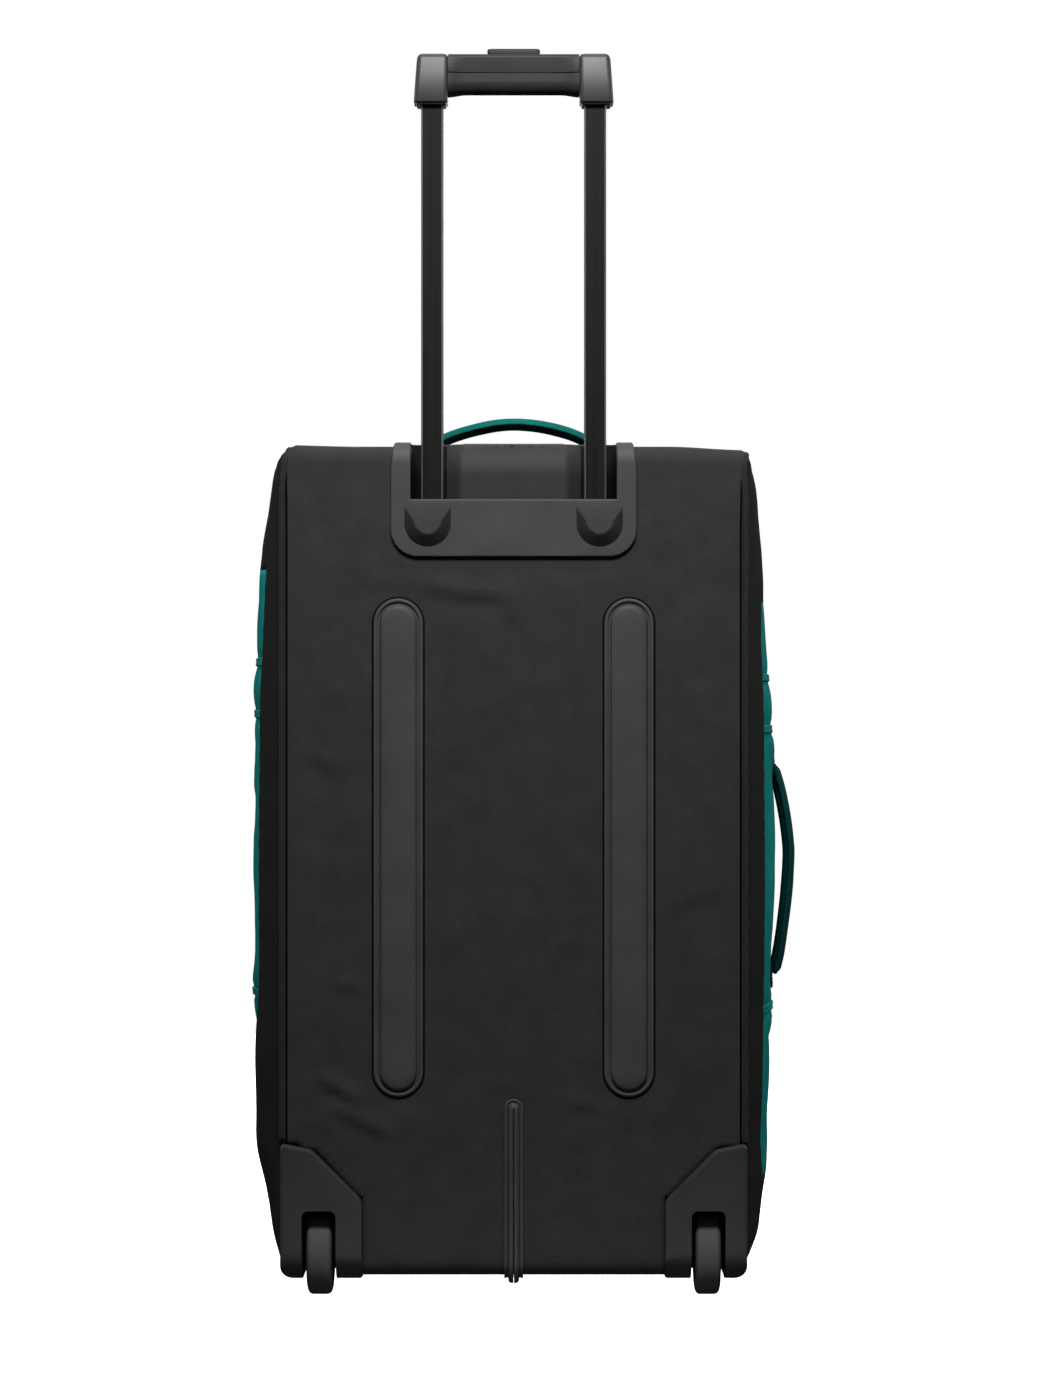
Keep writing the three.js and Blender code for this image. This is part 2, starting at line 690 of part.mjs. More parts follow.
function handleHousing() {
  const half = PLATE_WIDTH / 2;
  const plateShape = outline([
    [-half, PLATE_BOTTOM, PLATE_CORNER],
    [half, PLATE_BOTTOM, PLATE_CORNER],
    [half, FAR, 0],
    [-half, FAR, 0],
  ]);
  const plate = layer(GAP, GAP + PLATE_THICK).intersect(
    prism(plateShape, "y", -FAR, PLATE_FLANGE),
  );
  const top = BAG_TOP + GAP + PLATE_THICK;
  const tray = recess(RECESS_WALL, top).intersect(block([-FAR, -GAP - 1, -FAR], [FAR, FAR, top]));
  let housing = plate.add(tray).subtract(recess(0, FAR));
  for (const x of TUBES) {
    const hole = prism(tubeOutline(x), "z", RECESS_FLOOR - FAR / 4, FAR, { grow: SLIDE_GAP });
    housing = housing.subtract(hole);
  }
  return housing.add(bump(-BUMP_SPREAD / 2)).add(bump(BUMP_SPREAD / 2));
}

// Pull handle

// The height of the cloth inside the bag under the rear edge of a sleeve.
const sleeveHalf = TUBE_THICK / 2 + SLIDE_GAP + SLEEVE_WALL;
const insideRound = END_ROUND - CLOTH;
const fromRound = END_ROUND - (TUBE_Y - sleeveHalf);
const sleeveBottom =
  BAG_BOTTOM + END_ROUND - Math.sqrt(insideRound ** 2 - fromRound ** 2) + 2 * GAP;

function guideSleeve(x) {
  const range = [sleeveBottom, RECESS_FLOOR - RECESS_WALL - GAP];
  const bore = prism(tubeOutline(x), "z", -FAR, FAR, { grow: SLIDE_GAP });
  return prism(tubeOutline(x), "z", ...range, { grow: SLIDE_GAP + SLEEVE_WALL }).subtract(bore);
}

function pullTube(x) {
  const top = CAP_BOTTOM + CAP_SOCKET - GAP;
  const bore = prism(tubeOutline(x), "z", -FAR, 2 * FAR, { grow: -TUBE_WALL });
  return prism(tubeOutline(x), "z", top - TUBE_LENGTH, top).subtract(bore);
}

// The right grip cap; the left one is its mirror image.
function gripCap() {
  const outer = GRIP_WIDTH / 2;
  const inner = outer - CAP_WIDTH;
  const y = [TUBE_Y - CAP_DEPTH / 2, TUBE_Y + CAP_DEPTH / 2];
  const shape = outline([
    [inner, CAP_BOTTOM, 0],
    [outer, CAP_BOTTOM, 0],
    [outer, CAP_BOTTOM + CAP_LIP, 0],
    [outer - CAP_FLARE, CAP_TOP, CAP_ROUND],
    [inner, CAP_TOP, 0],
  ]);
  const socket = prism(
    tubeOutline(TUBE_SPREAD / 2),
    "z",
    CAP_BOTTOM - CAP_SOCKET,
    CAP_BOTTOM + CAP_SOCKET,
    { grow: GAP },
  );
  return prism(shape, "y", ...y, { bevel: CAP_BEVEL }).subtract(socket);
}

function gripBar() {
  const half = GRIP_WIDTH / 2 - CAP_WIDTH - GAP;
  const y = [BAR_Y - BAR_DEPTH / 2, BAR_Y + BAR_DEPTH / 2];
  const bar = prism(rectangle(y[0], BAR_TOP - BAR_HEIGHT, y[1], BAR_TOP, 7), "x", -half, half);
  const room = SLIDE_GAP / 2;
  const length = BUTTON_LENGTH / 2 + room;
  const width = BUTTON_WIDTH / 2 + room;
  const depth = BUTTON_SINK + BUTTON_TRAVEL + SLIDE_GAP;
  const pocket = block([-length, BAR_Y - width, BAR_TOP - depth], [length, BAR_Y + width, FAR * 2]);
  return bar.subtract(pocket);
}

function releaseButton() {
  const half = BUTTON_LENGTH / 2;
  const top = BAR_TOP + BUTTON_RISE;
  const shape = outline([
    [-half, BAR_TOP - BUTTON_SINK, 0],
    [half, BAR_TOP - BUTTON_SINK, 0],
    [half, BAR_TOP, 0],
    [half - 1.6, top, 1.2],
    [-half + 1.6, top, 1.2],
    [-half, BAR_TOP, 0],
  ]);
  return prism(shape, "y", BAR_Y - BUTTON_WIDTH / 2, BAR_Y + BUTTON_WIDTH / 2);
}

// Back panel fittings

function skidStrip(x) {
  const straight = SKID_LENGTH - SKID_WIDTH;
  const low = SKID_BOTTOM + SKID_WIDTH / 2;
  const loop = ({ inset, rise }) => {
    const radius = SKID_WIDTH / 2 - inset;
    const points = [];
    for (const [start, z] of [
      [Math.PI, low],
      [0, low + straight],
    ]) {
      for (let i = 0; i <= 10; i++) {
        const turn = start + (Math.PI * i) / 10;
        const up = z + radius * Math.sin(turn);
        points.push(new THREE.Vector3(x + radius * Math.cos(turn), -GAP - rise, up));
      }
    }
    return points;
  };
  return loft([...SKID_SECTION.map(loop), loop({ inset: 0, rise: 0 })]);
}

function kickRail() {
  const strip = (width, top, inner, outer) => {
    const shape = outline([
      [-width / 2, -FAR / 4, 0],
      [width / 2, -FAR / 4, 0],
      [width / 2, top, width / 2 - 0.1],
      [-width / 2, top, width / 2 - 0.1],
    ]);
    return layer(inner, outer).intersect(prism(shape, "y", -FAR / 4, RAIL_REACH));
  };
  const face = GAP + RAIL_THICK;
  const rim = strip(RAIL_WIDTH, RAIL_TOP, GAP, face + RIM_RISE).subtract(
    strip(RAIL_WIDTH - 2 * RIM_WIDTH, RAIL_TOP - RIM_WIDTH, face, face + RIM_RISE + 1),
  );
  const ridgeTop = RAIL_TOP - (RAIL_WIDTH - RIDGE_WIDTH) / 2 - RIM_WIDTH;
  return rim.add(strip(RIDGE_WIDTH, ridgeTop, face - 0.2, face + RIDGE_RISE));
}

function frontFoot(x) {
  const top = BAG_BOTTOM - GAP;
  const shape = outline([
    [FOOT_FRONT - FOOT_DEPTH + FOOT_TAPER, 0, 2],
    [FOOT_FRONT - FOOT_TAPER, 0, 2],
    [FOOT_FRONT, top, 0],
    [FOOT_FRONT - FOOT_DEPTH, top, 0],
  ]);
  return prism(shape, "x", x - FOOT_LENGTH / 2, x + FOOT_LENGTH / 2);
}

// Cloth pieces

function rearShell() {
  const behind = block([-FAR, -FAR, -FAR], [FAR, SEAM_DEPTH - GAP / 2, FAR]);
  const housing = shellBlock(GAP, 0);
  return wall
    .intersect(behind)
    .subtract(recess(RECESS_WALL + GAP, FAR))
    .subtract(housing)
    .subtract(housing.mirror([1, 0, 0]));
}

function band(side, z) {
  const half = BAND_WIDTH / 2;
  const height = above(z - half, BAND_TILT).subtract(above(z + half, BAND_TILT));
  return bands.intersect(height).intersect(beside(side));
}

// Piping beside the back panel: up the back from the wheel housing, over the top of the bag and
// along the corner between its side and its end as far as the next seam.
function piping() {
  const bendZ = BAG_TOP - END_ROUND;
  const x = HALF_PANEL + PIPING_OUT;
  const route = [{ x, y: 0, z: SHELL_TOP + GAP + PIPING_R, turn: Math.PI / 2 }];
  for (let i = 0; i < ROUND_STEPS; i++) {
    const round = (i / ROUND_STEPS) * (Math.PI / 2);
    const y = END_ROUND * (1 - Math.cos(round));
    route.push({ x, y, z: bendZ + END_ROUND * Math.sin(round), turn: Math.PI / 2 - round });
  }
  for (const share of [0.35, 0.6, 0.8, 1]) {
    const y = SEAM_DEPTH * share - GAP * 2;
    const corner = CORNER_ROUND * read(SIDE_RUN, "depth", "corner", y / BAG_DEPTH);
    const inward = corner * (1 - Math.SQRT1_2) - PIPING_OUT / 2;
    route.push({ x: halfWidth(BAG_TOP, y) - inward, y, z: BAG_TOP - inward, turn: 0 });
  }
  const loops = route.map(({ x, y, z, turn }) => {
    const loop = [];
    for (let i = 0; i < PIPE_SIDES; i++) {
      const round = (2 * Math.PI * i) / PIPE_SIDES;
      const up = PIPING_R * Math.sin(round);
      const out = PIPING_R * Math.cos(round);
      loop.push(new THREE.Vector3(x + out, y - up * Math.sin(turn), z + up * Math.cos(turn)));
    }
    return loop;
  });
  return loft(loops).subtract(form(GAP));
}

function mainZip() {
  const chain = ZIP_CHAIN / 2;
  const inside = block([-ZIP_TAPE / 2, BAG_DEPTH / 2, ZIP_BOTTOM], [ZIP_TAPE / 2, FAR, ZIP_TOP]);
  const ridge = block([-chain, BAG_DEPTH / 2, ZIP_BOTTOM], [chain, FAR, ZIP_TOP]);
  return wall.intersect(inside).add(layer(-1, ZIP_CHAIN_RISE).intersect(ridge));
}

function zipSlider() {
  const over = layer(ZIP_CHAIN_RISE + GAP, ZIP_CHAIN_RISE + GAP + 4);
  const pull = layer(ZIP_CHAIN_RISE + GAP + 2, ZIP_CHAIN_RISE + GAP + 4);
  const top = ZIP_TOP - 14;
  const body = over.intersect(block([-6, BAG_DEPTH / 2, top - 15], [6, FAR, top]));
  return body.add(pull.intersect(block([-4, BAG_DEPTH / 2, top - 52], [4, FAR, top - 14])));
}

// A padded strap along a path in an upright plane across the bag.
function strap(path) {
  const half = PAD_THICK / 2;
  const shape = rectangle(-PAD_WIDTH / 2, -half, PAD_WIDTH / 2, half, half - 0.5);
  const geometry = new THREE.ExtrudeGeometry(shape, {
    steps: STRAP_STEPS,
    curveSegments: 2,
    extrudePath: path,
  });
  return solid(geometry);
}

function topCarryHandle() {
  const half = TOP_HANDLE_SPAN / 2;
  const z = BAG_TOP + GAP + PAD_THICK / 2;
  const path = new THREE.QuadraticBezierCurve3(
    new THREE.Vector3(-half, HANDLE_DEPTH, z),
    new THREE.Vector3(0, HANDLE_DEPTH, z + 2 * TOP_HANDLE_RISE),
    new THREE.Vector3(half, HANDLE_DEPTH, z),
  );
  const y = [HANDLE_DEPTH - PAD_WIDTH / 2, HANDLE_DEPTH + PAD_WIDTH / 2];
  const tab = webbing.intersect(
    block([half - TAB_LAP, y[0], BAG_TOP - 5], [half - TAB_LAP + TOP_TAB_LENGTH, y[1], FAR]),
  );
  return strap(path).subtract(form(GAP)).add(tab).add(tab.mirror([1, 0, 0]));
}

function sideCarryHandle() {
  const x = HALF_PANEL + SIDE_BULGE + GAP + PAD_THICK / 2;
  const points = SIDE_HANDLE_LINE.map(
    ({ along, out }) =>
      new THREE.Vector3(
        x + SIDE_HANDLE_RISE * out,
        HANDLE_DEPTH,
        SIDE_HANDLE_Z + SIDE_HANDLE_SPAN * along,
      ),
  );
  const y = [HANDLE_DEPTH - PAD_WIDTH / 2, HANDLE_DEPTH + PAD_WIDTH / 2];
  const tab = (low) => webbing.intersect(block([0, y[0], low], [FAR, y[1], low + SIDE_TAB_LENGTH]));
  const top = SIDE_HANDLE_Z + SIDE_HANDLE_SPAN;
  return strap(new THREE.CatmullRomCurve3(points))
    .subtract(form(GAP))
    .add(tab(SIDE_HANDLE_Z + TAB_LAP - SIDE_TAB_LENGTH))
    .add(tab(top - TAB_LAP));
}

// Assembly

add("rear_shell", rearShell(), clothBlack);
const overTop = above(UPPER_SEAM + GAP / 2, TOP_END_TILT);
const overBottom = above(LOWER_SEAM - GAP / 2, 0);
add("top_end", wall.intersect(overTop).subtract(zipSlot), clothBlack);
add("bottom_end", wall.intersect(infront).subtract(overBottom).subtract(zipSlot), clothBlack);

const middle = wall
  .intersect(above(LOWER_SEAM + GAP / 2, 0))
  .subtract(above(UPPER_SEAM - GAP / 2, TOP_END_TILT));

for (const [side, sign] of [
  ["left", -1],
  ["right", 1],
]) {
  const placed = (piece) => (sign < 0 ? piece.mirror([1, 0, 0]) : piece);
  add(side + "_panel", middle.intersect(beside(sign)), clothTeal);
  for (const [level, z] of [
    ["upper", UPPER_SEAM - UPPER_BAND_DROP],
    ["middle", UPPER_SEAM - MIDDLE_BAND_DROP],
    ["lower", LOWER_BAND_Z],
  ]) {
    add(level + "_seam_band_" + side, band(sign, z), clothTeal);
  }
  add("piping_" + side, placed(piping()), clothBlack);
  add("skid_strip_" + side, skidStrip((sign * SKID_SPREAD) / 2), plasticGrey);
  add("wheel_housing_" + side, placed(wheelHousing()), plasticGrey);
  add("axle_" + side, placed(axle()), steel);
  add("wheel_hub_" + side, placed(wheelHub()), plasticBlack);
  add("tyre_" + side, placed(tyre()), rubber);
  add("guide_sleeve_" + side, guideSleeve((sign * TUBE_SPREAD) / 2), steel);
  add("pull_tube_" + side, pullTube((sign * TUBE_SPREAD) / 2), tubeBlack);
  add("grip_cap_" + side, placed(gripCap()), plasticBlack);
  add("front_foot_" + side, frontFoot((sign * FOOT_SPREAD) / 2), rubber);
}

add("main_zip", mainZip(), clothBlack);
add("zip_slider", zipSlider(), plasticBlack);
add("handle_housing", handleHousing(), plasticGrey);
add("grip_bar", gripBar(), plasticBlack);
add("release_button", releaseButton(), plasticBlack);
add("kick_rail", kickRail(), plasticGrey);
add("top_carry_handle", topCarryHandle(), clothTeal);
add("side_carry_handle", sideCarryHandle(), clothTeal);

const box = new THREE.Box3().setFromObject(bag);
const centre = box.getCenter(new THREE.Vector3());
bag.position.set(-centre.x, -centre.y, -box.min.z);

export default bag;
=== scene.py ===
import math

import bmesh
import bpy
from mathutils import Matrix, Vector, noise


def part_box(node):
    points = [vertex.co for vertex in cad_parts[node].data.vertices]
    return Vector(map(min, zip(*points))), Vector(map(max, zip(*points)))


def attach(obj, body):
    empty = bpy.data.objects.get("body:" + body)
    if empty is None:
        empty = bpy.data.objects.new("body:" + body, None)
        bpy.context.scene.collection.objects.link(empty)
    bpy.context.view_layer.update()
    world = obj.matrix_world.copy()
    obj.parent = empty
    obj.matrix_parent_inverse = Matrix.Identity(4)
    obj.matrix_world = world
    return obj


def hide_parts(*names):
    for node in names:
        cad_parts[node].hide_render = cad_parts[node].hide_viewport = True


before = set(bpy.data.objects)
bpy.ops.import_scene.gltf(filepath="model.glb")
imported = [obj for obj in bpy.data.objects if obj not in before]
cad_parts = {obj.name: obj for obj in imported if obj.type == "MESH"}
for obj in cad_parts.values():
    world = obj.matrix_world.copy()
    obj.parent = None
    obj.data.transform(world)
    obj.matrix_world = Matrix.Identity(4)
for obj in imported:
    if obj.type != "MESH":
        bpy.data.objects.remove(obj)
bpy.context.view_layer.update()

# Shapes are modelled in millimetres from the middle of the back panel, at the floor: x runs across
# the bag, y into it and z up. finish_piece() brings them to metres and to their place.
MM = 0.001
SHELL_LOW, SHELL_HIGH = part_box("rear_shell")
MIDDLE_X = (SHELL_LOW.x + SHELL_HIGH.x) / 2
BACK_Y = SHELL_LOW.y
TO_PLACE = Matrix.Translation((MIDDLE_X, BACK_Y, 0)) @ Matrix.Scale(MM, 4)

# Sizes of the bag, in millimetres
HALF_PANEL = 174  # the back panel, and on it the line where its seam's shadow starts
SEAM_LINE = 172.2
BAG_BOTTOM = 17
BAG_TOP = 651
BAG_HEIGHT = BAG_TOP - BAG_BOTTOM
BAG_DEPTH = 312
FRONT_CROWN = 10
SIDE_BULGE = 35
CLOTH = 2.2
END_ROUND = 12
FRONT_ROUND = 48
CORNER_ROUND = 15
SEAM_DEPTH = 74
TOP_SEAM_Z = 546.5
TOP_SEAM_TILT = math.tan(math.radians(3.7))
BOTTOM_SEAM_Z = 82
BAND_TILT = math.tan(math.radians(1.7))
BAND_HEIGHTS = {"upper": 481, "middle": 440, "lower": 219}
HALF_BAND = 3.5
BAND_FOLD = 2.6  # where the band's folded edge starts
TRAY_CUT, TRAY_CUT_LOW, TRAY_CUT_DEPTH = 82, 606, 38  # the opening in the cloth for the handle's recess
HANDLE_Y = 165  # the carry handles' middle
SKID_X, SKID_LOW, SKID_HIGH, SKID_HALF = 87.9, 154.6, 534.4, 18.9
ZIP_HALF = 14.3
ZIP_ENDS = (70, 592)

SIDES = (("left", -1), ("right", 1))

# Share of the side's swell at each share of the bag's height, and then at each share of its depth,
# where the last column is the rounding of the long corners.
BARREL = [
    (0.0, 0.28), (0.03, 0.5), (0.055, 0.62), (0.105, 0.78), (0.155, 0.86), (0.255, 0.94), (0.38, 0.99),
    (0.53, 1.0), (0.68, 0.96), (0.757, 0.89), (0.832, 0.8), (0.932, 0.6), (0.98, 0.47), (1.0, 0.31),
]
SIDE_RUN = [
    (0.0, 0.0, 0.3), (0.03, 0.17, 0.45), (0.07, 0.32, 0.65), (0.13, 0.5, 0.85), (0.21, 0.67, 1.0),
    (0.31, 0.87, 1.0), (0.43, 1.0, 1.2), (0.57, 1.0, 1.4), (0.7, 0.95, 1.7), (0.83, 0.84, 2.0),
    (1.0, 0.66, 2.6),
]


# Small helpers

def clamp(value, low=0.0, high=1.0):
    return min(max(value, low), high)


def ease(value):
    """Runs smoothly from 0 to 1 while value runs from 0 to 1."""
    t = clamp(value)
    return t * t * (3 - 2 * t)


def curve_through(table, column):
    """A table's column as a smooth curve, sampled finely and returned as a function."""
    def slope(n):
        low, high = max(n - 1, 0), min(n + 1, len(table) - 1)
        return (table[high][column] - table[low][column]) / (table[high][0] - table[low][0])

    steps = 400
    samples = []
    row = 1
    for n in range(steps + 1):
        at = n / steps
        while row < len(table) - 1 and table[row][0] < at:
            row += 1
        x0, x1 = table[row - 1][0], table[row][0]
        y0, y1 = table[row - 1][column], table[row][column]
        span = x1 - x0
        t = clamp((at - x0) / span)
        h00, h10 = 2 * t**3 - 3 * t**2 + 1, t**3 - 2 * t**2 + t
        h01, h11 = -2 * t**3 + 3 * t**2, t**3 - t**2
        samples.append(h00 * y0 + h10 * span * slope(row - 1) + h01 * y1 + h11 * span * slope(row))

    def value(at):
        place = clamp(at) * steps
        n = min(int(place), steps - 1)
        return samples[n] + (samples[n + 1] - samples[n]) * (place - n)

    return value


barrel = curve_through(BARREL, 1)
side_run = curve_through(SIDE_RUN, 1)
corner_run = curve_through(SIDE_RUN, 2)


def spread(keys, step):
    """Stations through every key, filled in so that none lie further apart than step."""
    stations = [keys[0]]
    for low, high in zip(keys, keys[1:]):
        count = max(1, math.ceil((high - low) / step - 1e-6))
        stations += [low + (high - low) * n / count for n in range(1, count + 1)]
    return stations


def finish_piece(name, bm, looks, body="bag", stands_for=(), sharp=40, flat_faces=True):
    """Turns a shape in millimetres into a piece in its place on the bag.

    flat_faces keeps broad faces flat to the light beside their rounded edges, as on a moulding.
    """
    bmesh.ops.transform(bm, matrix=TO_PLACE, verts=bm.verts)
    mesh = bpy.data.meshes.new(name)
    bm.to_mesh(mesh)
    bm.free()
    for look in looks if isinstance(looks, list) else [looks]:
        mesh.materials.append(look)
    mesh.shade_smooth()
    mesh.set_sharp_from_angle(angle=math.radians(sharp))
    piece = bpy.data.objects.new(name, mesh)
    bpy.context.scene.collection.objects.link(piece)
    if flat_faces:
        weighted = piece.modifiers.new("flat_faces", "WEIGHTED_NORMAL")
        weighted.keep_sharp = True
    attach(piece, body)
    if stands_for:
        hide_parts(*([stands_for] if isinstance(stands_for, str) else stands_for))
    return piece


def close_shape(bm, merge=0.001):
    """Merges doubled corners and turns every face outwards."""
    bmesh.ops.remove_doubles(bm, verts=bm.verts, dist=merge)
    bmesh.ops.recalc_face_normals(bm, faces=bm.faces)
    return bm


def loft(bm, loops, ends=True, closed=True):
    """Pulls the first loop of points out through every loop that follows."""
    place = bm.verts.layers.int.get("place") or bm.verts.layers.int.new("place")
    ring = [bm.verts.new(p) for p in loops[0]]
    for n, vert in enumerate(ring):
        vert[place] = n
    first = 0 if closed else 1
    edges = [bm.edges.new((ring[n - 1], ring[n])) for n in range(first, len(ring))]
    if ends:
        bm.faces.new(ring)
    for points in loops[1:]:
        pulled = bmesh.ops.extrude_edge_only(bm, edges=edges)["geom"]
        ring = [g for g in pulled if isinstance(g, bmesh.types.BMVert)]
        fresh = set(ring)
        edges = [
            g for g in pulled if isinstance(g, bmesh.types.BMEdge) and set(g.verts) <= fresh
        ]
        for vert in ring:
            vert.co = points[vert[place]]
    if ends:
        bm.faces.new(sorted(ring, key=lambda vert: vert[place]))
    bmesh.ops.recalc_face_normals(bm, faces=bm.faces)
    return bm


def round_edges(bm, edges, width, segments=2):
    bmesh.ops.bevel(
        bm, geom=list(edges), offset=width, offset_type="OFFSET", segments=segments, profile=0.5,
        affect="EDGES", material=-1, clamp_overlap=True,
    )


def raise_faces(bm, faces, height):
    """Pulls a copy of the faces up, with walls between them."""
    pulled = bmesh.ops.extrude_face_region(bm, geom=faces)["geom"]
    bmesh.ops.translate(
        bm, vec=(0, 0, height), verts=[g for g in pulled if isinstance(g, bmesh.types.BMVert)],
    )


def sharp_edges(bm, degrees=30):
    limit = math.radians(degrees)
    return [e for e in bm.edges if len(e.link_faces) == 2 and e.calc_face_angle(0) > limit]


def eased_copy(node, width, degrees=28, segments=2):
    """A copy of a moulded CAD node with its flat faces joined and its edges rounded."""
    bm = bmesh.new()
    bm.from_mesh(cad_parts[node].data)
    bmesh.ops.transform(bm, matrix=TO_PLACE.inverted(), verts=bm.verts)
    bmesh.ops.remove_doubles(bm, verts=bm.verts, dist=0.01)
    bmesh.ops.dissolve_limit(
        bm, angle_limit=math.radians(1.5), verts=bm.verts, edges=bm.edges, use_dissolve_boundaries=False,
    )
    round_edges(bm, sharp_edges(bm, degrees), width, segments)
    bmesh.ops.recalc_face_normals(bm, faces=bm.faces)
    return bm


# Finishes

def new_finish(name):
    finish = bpy.data.materials.new(name)
    finish.use_nodes = True
    return finish, finish.node_tree, finish.node_tree.nodes["Principled BSDF"]


def node(tree, kind, settings=None, **inputs):
    made = tree.nodes.new(kind)
    for key, value in (settings or {}).items():
        setattr(made, key, value)
    for key, value in inputs.items():
        socket = made.inputs[key.replace("_", " ")]
        if isinstance(value, bpy.types.NodeSocket):
            tree.links.new(value, socket)
        else:
            socket.default_value = value
    return made


def combined(tree, operation, first, second):
    made = tree.nodes.new("ShaderNodeMath")
    made.operation = operation
    for socket, value in zip(made.inputs, (first, second)):
        if isinstance(value, bpy.types.NodeSocket):
            tree.links.new(value, socket)
        else:
            socket.default_value = value
    return made.outputs[0]


def threads(tree, place, axis, pitch, waver=0.0):
    """Rounded threads that repeat every pitch millimetres along an axis."""
    wave = node(
        tree, "ShaderNodeTexWave", {"wave_type": "BANDS", "bands_direction": axis, "wave_profile": "SIN"},
        Vector=place, Scale=2 * math.pi / (20 * pitch * MM), Distortion=waver, Detail=1.0, Detail_Scale=0.4,
    )
    return wave.outputs["Fac"]


def between(tree, factor, low, high, start=0.0, end=1.0):
    """A colour that runs from low to high while factor runs from start to end."""
    ramp = tree.nodes.new("ShaderNodeValToRGB")
    ramp.color_ramp.elements[0].position = start
    ramp.color_ramp.elements[0].color = (*low, 1)
    ramp.color_ramp.elements[1].position = end
    ramp.color_ramp.elements[1].color = (*high, 1)
    tree.links.new(factor, ramp.inputs["Fac"])
    return ramp.outputs["Color"]


def scaled(tree, factor, low, high):
    made = node(tree, "ShaderNodeMapRange", None, Value=factor, To_Min=low, To_Max=high)
    return made.outputs["Result"]


def bumps(tree, shader, *layers):
    """Lays bump maps over each other. Each layer is (height, strength, depth in millimetres)."""
    normal = None
    for height, strength, depth in layers:
        bump = node(tree, "ShaderNodeBump", None, Height=height, Strength=strength, Distance=depth * MM)
        if normal:
            tree.links.new(normal, bump.inputs["Normal"])
        normal = bump.outputs["Normal"]
    tree.links.new(normal, shader.inputs["Normal"])


def woven_cloth(name, low, high, pitch=0.8, sheen=0.02, coarse=0.5, level=0.12):
    """Plain woven polyester: threads in every direction, slubs, and mottling from wear."""
    finish, tree, shader = new_finish(name)
    place = node(tree, "ShaderNodeTexCoord").outputs["Object"]
    weave = combined(
        tree, "ADD",
        combined(tree, "ADD", threads(tree, place, "X", pitch, 0.6), threads(tree, place, "Y", pitch, 0.6)),
        threads(tree, place, "Z", pitch * 0.92, 0.6),
    )
    weave = scaled(tree, weave, 0, 0.4)
    mottle = node(tree, "ShaderNodeTexNoise", None, Vector=place, Scale=46, Detail=6, Roughness=0.62)
    slubs = node(tree, "ShaderNodeTexNoise", None, Vector=place, Scale=900, Detail=2, Roughness=0.7)
    shade = combined(
        tree, "ADD",
        combined(tree, "MULTIPLY", mottle.outputs["Fac"], 0.55),
        combined(tree, "MULTIPLY", slubs.outputs["Fac"], 0.45),
    )
    tree.links.new(between(tree, shade, low, high, 0.34, 0.66), shader.inputs["Base Color"])
    tree.links.new(scaled(tree, mottle.outputs["Fac"], 0.78, 0.98), shader.inputs["Roughness"])
    shader.inputs["Specular IOR Level"].default_value = level
    shader.inputs["Sheen Weight"].default_value = sheen
    shader.inputs["Sheen Roughness"].default_value = 0.45
    bumps(tree, shader, (weave, coarse, 0.35), (slubs.outputs["Fac"], 0.25, 0.25))
    return finish


def webbing_cloth(name, low, high, along):
    """Woven strap: ribs along its run, crossed by tight picks."""
    finish, tree, shader = new_finish(name)
    place = node(tree, "ShaderNodeTexCoord").outputs["Object"]
    ribs = threads(tree, place, "Y", 2.0, 0.3)
    picks = threads(tree, place, along, 1.3, 0.8)
    weave = combined(
        tree, "ADD", combined(tree, "MULTIPLY", ribs, 0.55), combined(tree, "MULTIPLY", picks, 0.45),
    )
    mottle = node(tree, "ShaderNodeTexNoise", None, Vector=place, Scale=120, Detail=5, Roughness=0.6)
    shade = combined(
        tree, "ADD",
        combined(tree, "MULTIPLY", weave, 0.4), combined(tree, "MULTIPLY", mottle.outputs["Fac"], 0.6),
    )
    tree.links.new(between(tree, shade, low, high, 0.25, 0.75), shader.inputs["Base Color"])
    tree.links.new(scaled(tree, mottle.outputs["Fac"], 0.75, 0.95), shader.inputs["Roughness"])
    shader.inputs["Specular IOR Level"].default_value = 0.03
    bumps(tree, shader, (weave, 0.7, 0.5))
    return finish


def moulded_plastic(name, low, high, rough, grain=0.25, size=1400, level=0.3):
    """Moulded plastic with a fine spark grain, cloudy gloss, and colour lighter on sharp convex edges."""
    finish, tree, shader = new_finish(name)
    place = node(tree, "ShaderNodeTexCoord").outputs["Object"]
    fine = node(tree, "ShaderNodeTexVoronoi", {"feature": "F1"}, Vector=place, Scale=size)
    cloud = node(tree, "ShaderNodeTexNoise", None, Vector=place, Scale=30, Detail=5, Roughness=0.55)
    convex_sharpness = node(tree, "ShaderNodeNewGeometry").outputs["Pointiness"]
    # Colour turns lighter where the surface is sharply convex.
    edge = node(
        tree, "ShaderNodeMapRange", None, Value=convex_sharpness, From_Min=0.5, From_Max=0.62, To_Min=0, To_Max=0.35,
    )
    shade = combined(
        tree, "ADD", combined(tree, "MULTIPLY", cloud.outputs["Fac"], 0.7), edge.outputs["Result"],
    )
    tree.links.new(between(tree, shade, low, high, 0.2, 0.8), shader.inputs["Base Color"])
    tree.links.new(
        scaled(tree, cloud.outputs["Fac"], rough - 0.07, rough + 0.07), shader.inputs["Roughness"],
    )
    shader.inputs["Specular IOR Level"].default_value = level
    bumps(tree, shader, (fine.outputs["Distance"], grain, 0.12))
    return finish


